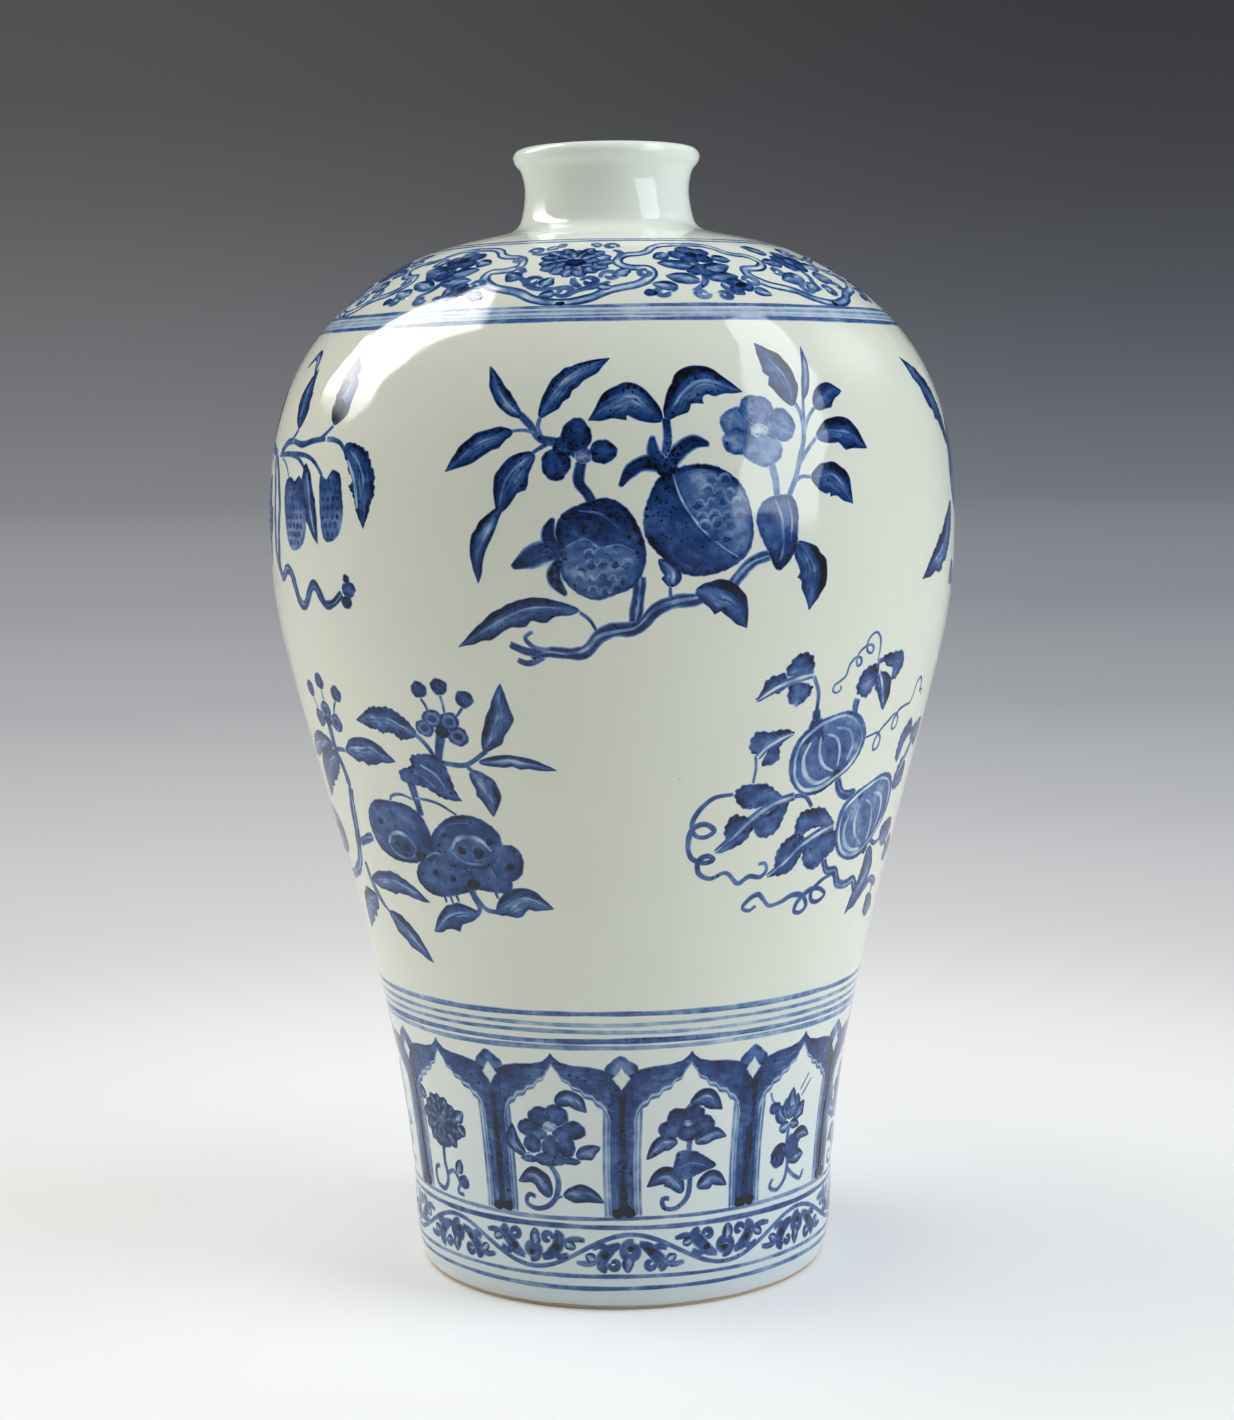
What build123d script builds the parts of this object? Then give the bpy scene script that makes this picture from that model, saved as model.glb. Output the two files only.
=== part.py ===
"""Meiping vase in millimetres: thrown sections of porcelain, luted together with slip.

The axis of the vase is Z, and the foot ring stands on the plane Z = 0.
"""

import os

from build123d import *

# Heights of the sections, from the foot up
foot_height = 6.0
dish_height = 87.2
lower_belly_height = 95.2
upper_belly_height = 95.2
shoulder_height = 30.8
neck_height = 21.6

# Outer radii at the joints and at the places between them
ankle_radius = 63.9
calf_radius = 66.4
dish_rim_radius = 75.6
lower_rim_radius = 100.0
belly_radius = 104.1
upper_rim_radius = 87.1
crown_radius = 56.0
collar_radius = 35.0
neck_root_radius = 26.8
neck_heel_radius = 25.4
neck_waist_radius = 24.8
neck_flare_radius = 25.4
lip_root_radius = 26.8
lip_radius = 28.2

# Heights of the places between the joints, above the foot of their section
calf_rise = 33.2
belly_rise = 37.2
crown_rise = 21.6
collar_rise = 27.1
neck_heel_rise = 3.6
neck_waist_rise = 8.4
neck_flare_rise = 13.6
lip_root_rise = 16.6

# Clay and slip
wall = 5.0
floor_thickness = 8.0
floor_cove = 8.0
foot_undercut = 2.4
foot_width = 8.0
foot_top_width = 12.4
foot_edge_fillet = 1.2
lip_round = 2.5
lute_thickness = 0.8
lute_bead = 1.5

# The resting edge is drawn in under the ankle
foot_radius = ankle_radius - foot_undercut

# Levels of the joints, each a layer of slip between two sections
foot_top = foot_height
dish_bottom = foot_top + lute_thickness
dish_top = dish_bottom + dish_height
lower_bottom = dish_top + lute_thickness
lower_top = lower_bottom + lower_belly_height
upper_bottom = lower_top + lute_thickness
upper_top = upper_bottom + upper_belly_height
shoulder_bottom = upper_top + lute_thickness
shoulder_top = shoulder_bottom + shoulder_height
neck_bottom = shoulder_top + lute_thickness
neck_top = neck_bottom + neck_height

# Directions of the outline at its ends and at the belly
foot_flare = (0.6, 0.8)
ankle_slope = (0.07, 1.0)
upright = (0.0, 1.0)

lower_stations = [
    (ankle_radius, dish_bottom),
    (calf_radius, dish_bottom + calf_rise),
    (dish_rim_radius, dish_top),
    (lower_rim_radius, lower_top),
    (belly_radius, upper_bottom + belly_rise),
]
upper_stations = [
    (belly_radius, upper_bottom + belly_rise),
    (upper_rim_radius, upper_top),
    (crown_radius, shoulder_bottom + crown_rise),
    (collar_radius, shoulder_bottom + collar_rise),
    (neck_root_radius, shoulder_top),
    (neck_heel_radius, neck_bottom + neck_heel_rise),
    (neck_waist_radius, neck_bottom + neck_waist_rise),
    (neck_flare_radius, neck_bottom + neck_flare_rise),
    (lip_root_radius, neck_bottom + lip_root_rise),
    (lip_radius, neck_top - lip_round),
]

# The inside of the neck runs plainly from the root to the lip, so the lip is thicker clay
outer_only = [
    (neck_heel_radius, neck_bottom + neck_heel_rise),
    (neck_flare_radius, neck_bottom + neck_flare_rise),
    (lip_root_radius, neck_bottom + lip_root_rise),
]
inset_stations = [station for station in upper_stations if station not in outer_only]


def inset(curve, station, depth):
    """Point inside the wall, square to the outer curve at one of its stations."""
    direction = curve % curve.param_at_point(station)
    return Vector(station) + Vector(-direction.Y, direction.X) * depth


def wall_profile(depth):
    """Half section of the wall from the dish to the lip, its inside set in by the depth."""
    with BuildSketch(Plane.XZ) as profile:
        with BuildLine():
            lower_curve = Spline(*lower_stations, tangents=(ankle_slope, upright))
            upper_curve = Spline(*upper_stations, tangents=(upright, upright))
            inside = [inset(lower_curve, station, depth) for station in lower_stations[:-1]]
            inside += [inset(upper_curve, station, depth) for station in inset_stations]
            inner_curve = Spline(*inside, tangents=(ankle_slope, upright))
            ThreePointArc(upper_curve @ 1, (lip_radius - depth / 2, neck_top), inner_curve @ 1)
            Line(inner_curve @ 0, lower_curve @ 0)
        make_face()
    return profile.sketch


os.makedirs("parts", exist_ok=True)

wall_section = wall_profile(wall)
bead_section = wall_profile(wall + lute_bead)

# Half section of the foot ring with the slip that joins it to the dish
with BuildSketch(Plane.XZ) as foot_profile:
    with BuildLine():
        foot_curve = Spline(
            (foot_radius, 0), (ankle_radius, dish_bottom), tangents=(foot_flare, ankle_slope)
        )
        Polyline(
            foot_curve @ 1,
            (ankle_radius - foot_top_width, dish_bottom),
            (foot_radius - foot_width, 0),
            foot_curve @ 0,
        )
    make_face()

# Foot ring, with the inner corner of its resting face eased
with BuildPart() as foot_ring:
    revolve(foot_profile.sketch, axis=Axis.Z)
    split(bisect_by=Plane.XY.offset(foot_top), keep=Keep.BOTTOM)
    resting_edges = foot_ring.edges().filter_by(GeomType.CIRCLE).group_by(Axis.Z)[0]
    fillet(resting_edges.sort_by(SortBy.RADIUS)[0], radius=foot_edge_fillet)
foot_ring.part.label = "foot_ring"
export_step(foot_ring.part, "parts/foot_ring.step")

with BuildPart() as foot_lute:
    revolve(foot_profile.sketch, axis=Axis.Z)
    split(bisect_by=Plane.XY.offset(foot_top), keep=Keep.TOP)
foot_lute.part.label = "foot_lute"
export_step(foot_lute.part, "parts/foot_lute.step")

# Base dish: the lowest wall and the floor, which curves up into the wall in a cove
floor_level = dish_bottom + floor_thickness
cove_start = (ankle_radius - wall - floor_cove, floor_level)
cove_end = (ankle_radius - wall / 2, floor_level + floor_cove)
with BuildSketch(Plane.XZ) as floor_profile:
    with BuildLine():
        TangentArc(cove_start, cove_end, tangent=(1, 0))
        Polyline(
            cove_end,
            (ankle_radius - wall / 2, dish_bottom),
            (0, dish_bottom),
            (0, floor_level),
            cove_start,
        )
    make_face()
with BuildPart() as base_dish:
    revolve(wall_section, axis=Axis.Z)
    split(bisect_by=Plane.XY.offset(dish_top), keep=Keep.BOTTOM)
    revolve(floor_profile.sketch, axis=Axis.Z)
base_dish.part.label = "base_dish"
export_step(base_dish.part, "parts/base_dish.step")

with BuildPart() as lower_belly:
    revolve(wall_section, axis=Axis.Z)
    split(bisect_by=Plane.XY.offset(lower_bottom), keep=Keep.TOP)
    split(bisect_by=Plane.XY.offset(lower_top), keep=Keep.BOTTOM)
lower_belly.part.label = "lower_belly"
export_step(lower_belly.part, "parts/lower_belly.step")

with BuildPart() as upper_belly:
    revolve(wall_section, axis=Axis.Z)
    split(bisect_by=Plane.XY.offset(upper_bottom), keep=Keep.TOP)
    split(bisect_by=Plane.XY.offset(upper_top), keep=Keep.BOTTOM)
upper_belly.part.label = "upper_belly"
export_step(upper_belly.part, "parts/upper_belly.step")

with BuildPart() as shoulder:
    revolve(wall_section, axis=Axis.Z)
    split(bisect_by=Plane.XY.offset(shoulder_bottom), keep=Keep.TOP)
    split(bisect_by=Plane.XY.offset(shoulder_top), keep=Keep.BOTTOM)
shoulder.part.label = "shoulder"
export_step(shoulder.part, "parts/shoulder.step")

with BuildPart() as neck:
    revolve(wall_section, axis=Axis.Z)
    split(bisect_by=Plane.XY.offset(neck_bottom), keep=Keep.TOP)
neck.part.label = "neck"
export_step(neck.part, "parts/neck.step")

# Slip between the sections: flush outside, and squeezed out as a bead inside
lute_levels = {
    "dish_lute": dish_top,
    "belly_lute": lower_top,
    "shoulder_lute": upper_top,
    "neck_lute": shoulder_top,
}
for lute_name, level in lute_levels.items():
    with BuildPart() as lute:
        revolve(bead_section, axis=Axis.Z)
        split(bisect_by=Plane.XY.offset(level), keep=Keep.TOP)
        split(bisect_by=Plane.XY.offset(level + lute_thickness), keep=Keep.BOTTOM)
    lute.part.label = lute_name
    export_step(lute.part, f"parts/{lute_name}.step")

print("height", neck_top, "belly diameter", 2 * belly_radius, "mouth", 2 * (lip_radius - wall))
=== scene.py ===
import math

import bpy
import numpy as np
from mathutils import Matrix, Vector


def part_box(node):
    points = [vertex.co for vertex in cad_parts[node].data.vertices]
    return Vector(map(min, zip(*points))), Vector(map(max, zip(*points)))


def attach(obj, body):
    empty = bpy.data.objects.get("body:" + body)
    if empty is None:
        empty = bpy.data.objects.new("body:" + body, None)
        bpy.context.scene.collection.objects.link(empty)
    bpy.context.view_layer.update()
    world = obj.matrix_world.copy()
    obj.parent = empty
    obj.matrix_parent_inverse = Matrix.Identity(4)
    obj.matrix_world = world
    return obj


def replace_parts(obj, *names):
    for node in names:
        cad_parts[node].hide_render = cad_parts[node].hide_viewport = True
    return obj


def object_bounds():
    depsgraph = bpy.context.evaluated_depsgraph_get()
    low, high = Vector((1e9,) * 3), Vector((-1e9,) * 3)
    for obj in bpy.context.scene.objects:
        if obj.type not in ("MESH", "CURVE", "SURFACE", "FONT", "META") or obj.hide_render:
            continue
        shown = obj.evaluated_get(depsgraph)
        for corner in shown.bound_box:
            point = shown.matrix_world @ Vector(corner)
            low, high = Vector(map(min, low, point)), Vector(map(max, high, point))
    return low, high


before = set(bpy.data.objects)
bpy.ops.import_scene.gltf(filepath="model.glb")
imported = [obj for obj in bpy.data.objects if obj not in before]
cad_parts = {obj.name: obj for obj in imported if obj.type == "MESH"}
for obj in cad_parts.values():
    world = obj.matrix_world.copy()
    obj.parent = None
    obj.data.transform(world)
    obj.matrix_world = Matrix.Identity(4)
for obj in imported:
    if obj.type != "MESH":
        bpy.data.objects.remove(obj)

cadBox = [list(corner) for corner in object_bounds()]  # box of the solids
mm = 0.001
scene = bpy.context.scene
scene.view_settings.view_transform = "Standard"
rng = np.random.default_rng(17)  # every uneven hand movement below comes from this


def linear(red, green, blue):
    # colour given in 0 to 255, turned to the renderer's scale
    def channel(value):
        value /= 255
        return value / 12.92 if value <= 0.04045 else ((value + 0.055) / 1.055) ** 2.4
    return (channel(red), channel(green), channel(blue), 1)


# Outline of the wall, measured on the frame in mm
outline = {
    "lipRound": 2.5,  # the roll of the lip starts this far below the top
    "step": 0.25,  # spacing of the measured outline
    "together": 1.8,  # mesh points nearer than this count as one
    "window": 0.4,  # heights compared when looking for the skin of the wall
    "facing": 0.05,  # least sideways lean of a wall face
    "level": 0.99,  # least upward lean of the floor
    "slack": 0.01,  # heights nearer than this count as equal
}


def frameFaces(name):
    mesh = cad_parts[name].data
    corners = np.empty(len(mesh.loops), int)
    mesh.loops.foreach_get("vertex_index", corners)
    corners = corners.reshape(-1, 3)
    points = np.empty(len(mesh.vertices) * 3)
    mesh.vertices.foreach_get("co", points)
    points = points.reshape(-1, 3)
    triangles = points[corners]
    lean = np.cross(triangles[:, 1] - triangles[:, 0], triangles[:, 2] - triangles[:, 0])
    lean /= np.maximum(np.linalg.norm(lean, axis=1), 1e-12)[:, None]
    return points, corners, triangles, lean


def wallPoints(nodeNames, side):
    found = []
    for name in nodeNames:
        points, corners, triangles, lean = frameFaces(name)
        outward = triangles.mean(1)[:, :2]
        outward /= np.maximum(np.linalg.norm(outward, axis=1), 1e-9)[:, None]
        chosen = (lean[:, :2] * outward).sum(1) * side > outline["facing"]
        wall = points[np.unique(corners[chosen])]
        found.append(np.c_[np.hypot(wall[:, 0], wall[:, 1]), wall[:, 2]] / mm)
    found = np.vstack(found)
    found = found[np.argsort(found[:, 1])]
    height = found[:, 1]
    low = np.searchsorted(height, height - outline["window"])
    high = np.searchsorted(height, height + outline["window"], side="right")
    skin = np.array([(side * found[a:b, 0]).max() for a, b in zip(low, high)])
    return found[side * found[:, 0] > skin - outline["together"]]  # drops slivers inside the clay


def lengthAlong(points):
    return np.r_[0, np.cumsum(np.hypot(*np.diff(points, axis=0).T))]


def thinned(points):
    kept = [points[0]]
    for point in points[1:]:
        if np.hypot(*(point - kept[-1])) > outline["together"]:
            kept.append(point)
    kept[-1] = points[-1]
    return np.array(kept)


def naturalSpline(knots, values, at):
    gaps = np.diff(knots)
    size = len(knots)
    bend = np.eye(size)
    right = np.zeros((size, values.shape[1]))
    slope = np.diff(values, axis=0) / gaps[:, None]
    for k in range(1, size - 1):
        bend[k, k - 1:k + 2] = gaps[k - 1], 2 * (gaps[k - 1] + gaps[k]), gaps[k]
        right[k] = 6 * (slope[k] - slope[k - 1])
    second = np.linalg.solve(bend, right)
    span = np.clip(np.searchsorted(knots, at) - 1, 0, size - 2)
    gap = gaps[span][:, None]
    a = (knots[span + 1] - at)[:, None]
    b = (at - knots[span])[:, None]
    return (second[span] * a ** 3 + second[span + 1] * b ** 3) / (6 * gap) \
        + (values[span] / gap - second[span] * gap / 6) * a \
        + (values[span + 1] / gap - second[span + 1] * gap / 6) * b


def smoothWall(points):
    # radius, height and the two parts of the normal (to the left of the way up), evenly spaced
    points = thinned(points)
    knots = lengthAlong(points)
    at = np.linspace(0, knots[-1], int(knots[-1] / outline["step"]) + 1)
    curve = naturalSpline(knots, points, at)
    slope = np.gradient(curve, at, axis=0)
    slope /= np.linalg.norm(slope, axis=1)[:, None]
    return np.c_[curve, slope[:, 1], -slope[:, 0]]


wallNodes = ["base_dish", "dish_lute", "lower_belly", "belly_lute", "upper_belly",
             "shoulder_lute", "shoulder", "neck_lute", "neck"]
clayNodes = ["base_dish", "lower_belly", "upper_belly", "shoulder", "neck"]
lipHeight = cadBox[1][2] / mm - outline["lipRound"]
outerPoints = wallPoints(["foot_ring", "foot_lute"] + wallNodes, 1)
outer = smoothWall(outerPoints[outerPoints[:, 1] < lipHeight + outline["slack"]])
_, _, dishFaces, dishLean = frameFaces("base_dish")
floorHeight = dishFaces[dishLean[:, 2] > outline["level"]][..., 2].min() / mm
innerPoints = wallPoints(clayNodes, -1)
aboveFloor = innerPoints[:, 1] > floorHeight - outline["slack"]
inner = smoothWall(innerPoints[aboveFloor & (innerPoints[:, 1] < lipHeight + outline["slack"])])
inner[:, 2:] *= -1
wayUp = lengthAlong(outer[:, :2])  # mm along the wall, from the foot
print("outline", len(outer), "points, wall length", round(wayUp[-1], 1), "mm")


# Glaze, and the cobalt under it
glazeLook = {
    "pale": linear(210, 212, 197),
    "cloudy": (0.975, 0.98, 0.985, 1),
    "cloudSize": 40,  # mm
    "speck": linear(120, 104, 82),
    "dust": (9, 0.1, 0.035),  # mm between specks, the share of them that shows, and their reach
    "roughness": 0.045,
    "dull": 0.03,  # more roughness where the glaze is cloudy
    "ior": 1.45,
    # height in mm and the tint there, partly painted light: bluish at the foot as pooled glaze and as
    # painted cool floor bounce, lighter at the neck as painted light
    "tints": [
        (0, linear(206, 215, 216)), (45, linear(210, 217, 213)), (95, linear(212, 215, 201)),
        (150, linear(210, 212, 197)), (290, linear(208, 211, 197)), (318, linear(222, 227, 217)),
        (340, linear(222, 227, 217)),
    ],
    # size and depth in mm, and detail: the thrown wall, its ripples, and the orange peel of the glaze
    "uneven": [(26, 0.6, 1.0), (12, 0.24, 1.0), (1.6, 0.006, 2.0)],
}
cobaltLook = {
    # strength of the wash and its colour; 0 is bare glaze
    "washes": [
        (0.0, glazeLook["pale"]), (0.12, linear(174, 189, 199)), (0.28, linear(124, 148, 176)),
        (0.48, linear(69, 98, 143)), (0.68, linear(31, 61, 111)), (0.86, linear(17, 37, 77)),
        (1.02, linear(13, 20, 38)), (1.25, linear(14, 12, 15)),
    ],
    "streak": 0.2,
    "streakStretch": (0.16, 1, 1),  # streaks run along the stroke
    "streakSize": 1.1,  # mm, as the two below
    "mottle": 0.24,
    "mottleSize": 2.6,
    "cloud": 0.26,
    "cloudSize": 9,
    "heaps": (2.4, 0.45, 0.27),  # dark heaps: mm between them, their share and reach
    "heapDark": 0.7,
    "heapRough": 0.14,
    "grains": (1.25, 0.42, 0.3),  # finer ones among them
    "grainDark": 0.7,
    "raggedSize": 1.4,  # mm, spots where thick colour breaks through
    "crowdSize": 6,  # mm, the places where heaps gather
}


def node(tree, kind, **values):
    made = tree.nodes.new("ShaderNode" + kind)
    for key, value in values.items():
        setattr(made, key, value)
    return made


def plug(tree, value, socket):
    # a number or colour is set on the socket, anything else is linked to it
    if isinstance(value, (int, float, tuple)):
        socket.default_value = value
    else:
        tree.links.new(value, socket)


def plugAll(tree, made, **values):
    for name, value in values.items():
        plug(tree, value, made.inputs[name.replace("_", " ")])


def sums(tree, operation, *values):
    made = node(tree, "Math", operation=operation)
    for socket, value in zip(made.inputs, values):
        plug(tree, value, socket)
    return made.outputs[0]


def sides(tree, vector):
    made = node(tree, "SeparateXYZ")
    plug(tree, vector, made.inputs[0])
    return made.outputs


def between(tree, value, low, high, toLow=0.0, toHigh=1.0):
    made = node(tree, "MapRange", interpolation_type="SMOOTHSTEP")
    plugAll(tree, made, Value=value, From_Min=low, From_Max=high, To_Min=toLow, To_Max=toHigh)
    return made.outputs["Result"]


def noise(tree, place, size, detail=2.0, rough=0.5):
    made = node(tree, "TexNoise")
    plugAll(tree, made, Vector=place, Scale=1 / size, Detail=detail, Roughness=rough)
    return made.outputs["Fac"]


def mixed(tree, share, first, second, blend="MIX"):
    made = node(tree, "Mix", data_type="RGBA", blend_type=blend)
    for socket, value in zip((made.inputs[0], made.inputs[6], made.inputs[7]), (share, first, second)):
        plug(tree, value, socket)
    return made.outputs[2]


def toneRamp(tree, value, tones):
    # colour by place, from the first row of tones to the last
    low, high = tones[0][0], tones[-1][0]
    ramp = node(tree, "ValToRGB")
    stops = ramp.color_ramp.elements
    while len(stops) < len(tones):
        stops.new(1)
    for stop, (place, colour) in zip(stops, tones):
        stop.position = (place - low) / (high - low)
        stop.color = colour
    scaled = sums(tree, "DIVIDE", sums(tree, "SUBTRACT", value, low), high - low)
    plug(tree, scaled, ramp.inputs[0])
    return ramp.outputs[0]


def startMaterial(name):
    material = bpy.data.materials.new(name)
    material.use_nodes = True
    tree = material.node_tree
    tree.nodes.clear()
    shader = node(tree, "BsdfPrincipled")
    output = node(tree, "OutputMaterial")
    plug(tree, shader.outputs[0], output.inputs["Surface"])
    return material, tree, shader


def glazeSurface(tree, shader):
    # gives the place in the vase, the tint of the bare glaze, partly painted light by height, and its
    # roughness, and makes it uneven
    place = node(tree, "TexCoord").outputs["Object"]
    cloud = noise(tree, place, glazeLook["cloudSize"] * mm, 3, 0.6)
    height = sums(tree, "DIVIDE", sides(tree, place)[2], mm)
    # tint by height, partly painted light: bluish at the foot for cool floor bounce, lighter at the neck
    heightTintWithPaintedLight = toneRamp(tree, height, glazeLook["tints"])
    tint = mixed(tree, between(tree, cloud, 0.35, 0.68), heightTintWithPaintedLight, glazeLook["cloudy"], "MULTIPLY")
    normal = None
    for size, depth, detail in glazeLook["uneven"]:
        bump = node(tree, "Bump")
        plugAll(tree, bump, Distance=depth * mm, Height=noise(tree, place, size * mm, detail))
        if normal:
            plug(tree, normal, bump.inputs["Normal"])
        normal = bump.outputs["Normal"]
    plugAll(tree, shader, Normal=normal, IOR=glazeLook["ior"])
    smooth = glazeLook["roughness"]
    return place, tint, between(tree, cloud, 0.3, 0.7, smooth, smooth + glazeLook["dull"])


def specks(tree, place, size, share, reach):
    # small round marks scattered through the glaze
    made = node(tree, "TexVoronoi")
    plugAll(tree, made, Vector=place, Scale=1 / (size * mm))
    pick = node(tree, "SeparateColor")
    plug(tree, made.outputs["Color"], pick.inputs[0])
    chosen = sums(tree, "GREATER_THAN", pick.outputs[0], 1 - share)
    near = between(tree, made.outputs["Distance"], reach * 0.4, reach, 1, 0)
    return sums(tree, "MULTIPLY", chosen, near)


def makeWhiteGlaze():
    material, tree, shader = startMaterial("whiteGlaze")
    place, tint, gloss = glazeSurface(tree, shader)
    dust = specks(tree, place, *glazeLook["dust"])
    plugAll(tree, shader, Base_Color=mixed(tree, dust, tint, glazeLook["speck"]), Roughness=gloss)
    return material


def makeCobaltGlaze():
    material, tree, shader = startMaterial("cobaltUnderGlaze")
    place, tint, gloss = glazeSurface(tree, shader)
    wash = node(tree, "Attribute", attribute_name="wash").outputs["Fac"]
    stretch = node(tree, "Mapping")
    brush = node(tree, "UVMap", uv_map="brush").outputs["UV"]
    plugAll(tree, stretch, Vector=brush, Scale=cobaltLook["streakStretch"])
    fields = {
        "streak": noise(tree, stretch.outputs[0], cobaltLook["streakSize"], 2.0),
        "mottle": noise(tree, place, cobaltLook["mottleSize"] * mm, 3.0, 0.65),
        "cloud": noise(tree, place, cobaltLook["cloudSize"] * mm, 1.0),
    }
    uneven = 0.0
    for name, field in fields.items():
        swing = sums(tree, "SUBTRACT", field, 0.5)
        uneven = sums(tree, "MULTIPLY_ADD", swing, cobaltLook[name], uneven)
    uneven = sums(tree, "MULTIPLY", uneven, between(tree, wash, 0.04, 0.4, 0, 2))
    heaps = specks(tree, place, *cobaltLook["heaps"])
    grains = sums(tree, "MULTIPLY", specks(tree, place, *cobaltLook["grains"]), cobaltLook["grainDark"])
    level = between(tree, wash, 0.6, 0.95, 0.7, 0.5)
    ragged = sums(tree, "SUBTRACT", noise(tree, place, cobaltLook["raggedSize"] * mm, 2.0, 0.6), level)
    for more in (grains, between(tree, ragged, 0, 0.07)):
        heaps = sums(tree, "MAXIMUM", heaps, more)
    crowd = between(tree, noise(tree, place, cobaltLook["crowdSize"] * mm, 1.0), 0.38, 0.6, 0.2, 1.0)
    for share in (crowd, between(tree, wash, 0.36, 0.7)):
        heaps = sums(tree, "MULTIPLY", heaps, share)
    depth = sums(tree, "MULTIPLY_ADD", heaps, cobaltLook["heapDark"], sums(tree, "ADD", wash, uneven))
    bare = between(tree, wash, 0.0, 0.1, 1, 0)
    colour = mixed(tree, bare, toneRamp(tree, depth, cobaltLook["washes"]), tint)
    rough = sums(tree, "MULTIPLY_ADD", heaps, cobaltLook["heapRough"], gloss)
    plugAll(tree, shader, Base_Color=colour, Roughness=rough)
    return material


biscuitLook = {
    "clay": linear(196, 182, 154),
    "worn": linear(178, 164, 138),
    "burnt": linear(150, 112, 76),
    "burn": 0.55,
    "burnWidth": 0.9,  # mm
    "grainSize": 0.7,  # mm
    "glazeEdge": 1.3,  # mm above the table
    "edgeSoft": (0.2, 0.25),  # mm below and above it
    "edgeSwing": 0.5,  # mm up or down
    "swingSize": 14,  # mm
    "roughness": 0.7,  # more than the glaze's
}


def makeFootGlaze():
    # bare clay on the resting edge, burnt a little where the glaze stops
    material, tree, shader = startMaterial("footGlazeAndClay")
    place, tint, gloss = glazeSurface(tree, shader)
    swing = sums(tree, "SUBTRACT", noise(tree, place, biscuitLook["swingSize"] * mm, 3), 0.5)
    level = sums(tree, "MULTIPLY_ADD", swing, 2 * biscuitLook["edgeSwing"] * mm, sides(tree, place)[2])
    edge = biscuitLook["glazeEdge"] * mm
    under, over = biscuitLook["edgeSoft"]
    bare = between(tree, level, edge - under * mm, edge + over * mm, 1, 0)
    burn = sums(tree, "MULTIPLY", bare, between(tree, level, edge - biscuitLook["burnWidth"] * mm, edge))
    grain = noise(tree, place, biscuitLook["grainSize"] * mm, 4, 0.7)
    clay = mixed(tree, between(tree, grain, 0.3, 0.75), biscuitLook["clay"], biscuitLook["worn"])
    clay = mixed(tree, sums(tree, "MULTIPLY", burn, biscuitLook["burn"]), clay, biscuitLook["burnt"])
    rough = sums(tree, "MULTIPLY_ADD", bare, biscuitLook["roughness"], gloss)
    plugAll(tree, shader, Base_Color=mixed(tree, bare, tint, clay), Roughness=rough)
    return material


whiteGlaze = makeWhiteGlaze()
cobaltGlaze = makeCobaltGlaze()
footGlaze = makeFootGlaze()
print("glazes mixed")


# Turned sections of the vase
turning = {
    "sectors": 288,
    "row": 1.2,  # mm between the rings of a wall
    "lipRows": 25,
    "beadRows": 7,
    "footRow": 8,  # measured points from one ring inside the foot to the next
}


def onWheel(radius, height, angle):
    return np.stack([radius * np.sin(angle), -radius * np.cos(angle), height + 0 * angle], -1)


def addPiece(name, mesh, material):
    piece = bpy.data.objects.new(name, mesh)
    scene.collection.objects.link(piece)
    mesh.materials.append(material)
    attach(piece, "root")
    return piece


def turned(name, runs, material, closed=True):
    # each run holds radius, height and normal along one side of the section, in order
    angle = np.arange(turning["sectors"]) * 2 * math.pi / turning["sectors"]
    verts, rings = [], []
    count = 0
    for k, run in enumerate(runs):
        last = len(run) if not closed and k == len(runs) - 1 else len(run) - 1
        for radius, height, _, _ in run[:last]:
            if radius < 1e-6:
                verts.append([[0, 0, height]])
                rings.append(np.full(len(angle), count))
                count += 1
            else:
                verts.append(onWheel(radius, height, angle))
                rings.append(count + np.arange(len(angle)))
                count += len(angle)
    if closed:
        rings.append(rings[0])
    faces, normals = [], []
    start = 0
    for run in runs:
        for k in range(len(run) - 1):
            low, high = rings[start + k], rings[start + k + 1]
            square = np.stack([low, np.roll(low, -1), np.roll(high, -1), high], 1)
            lowNormal = onWheel(run[k, 2], run[k, 3], angle)
            highNormal = onWheel(run[k + 1, 2], run[k + 1, 3], angle)
            lean = np.stack(
                [lowNormal, np.roll(lowNormal, -1, 0), np.roll(highNormal, -1, 0), highNormal], 1)
            keep = [0, 1, 2, 3]
            if low[0] == low[1]:
                keep = [0, 2, 3]
            elif high[0] == high[1]:
                keep = [0, 1, 2]
            faces += square[:, keep].tolist()
            normals.append(lean[:, keep].reshape(-1, 3))
        start += len(run) - 1
    mesh = bpy.data.meshes.new(name)
    mesh.from_pydata((np.vstack(verts) * mm).tolist(), [], faces)
    mesh.polygons.foreach_set("use_smooth", [True] * len(faces))
    mesh.normals_split_custom_set(np.vstack(normals).tolist())
    return addPiece(name, mesh, material)


def stretchOf(wall, low, high):
    # part of a wall between two heights, at even steps
    reach = lengthAlong(wall[:, :2])
    ends = np.interp([low, high], wall[:, 1], reach)
    at = np.linspace(*ends, max(2, int((ends[1] - ends[0]) / turning["row"]) + 1))
    run = np.stack([np.interp(at, reach, column) for column in wall.T], 1)
    run[0, 1], run[-1, 1] = low, high
    return run


def flatRun(fromRadius, toRadius, height, lean):
    return np.array([[fromRadius, height, 0, lean], [toRadius, height, 0, lean]])


def heights(nodeName):
    low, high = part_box(nodeName)
    return low.z / mm, high.z / mm


def topEdge(outside, inside):
    return flatRun(outside[-1, 0], inside[0, 0], outside[-1, 1], 1)


def underside(outside, inside):
    return flatRun(inside[-1, 0], outside[0, 0], outside[0, 1], -1)


def hoopRuns(nodeName, inside):
    # closed section between the outer wall and the inner side, which runs down
    outside = stretchOf(outer, *heights(nodeName))
    return [underside(outside, inside), outside, topEdge(outside, inside), inside]


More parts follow.
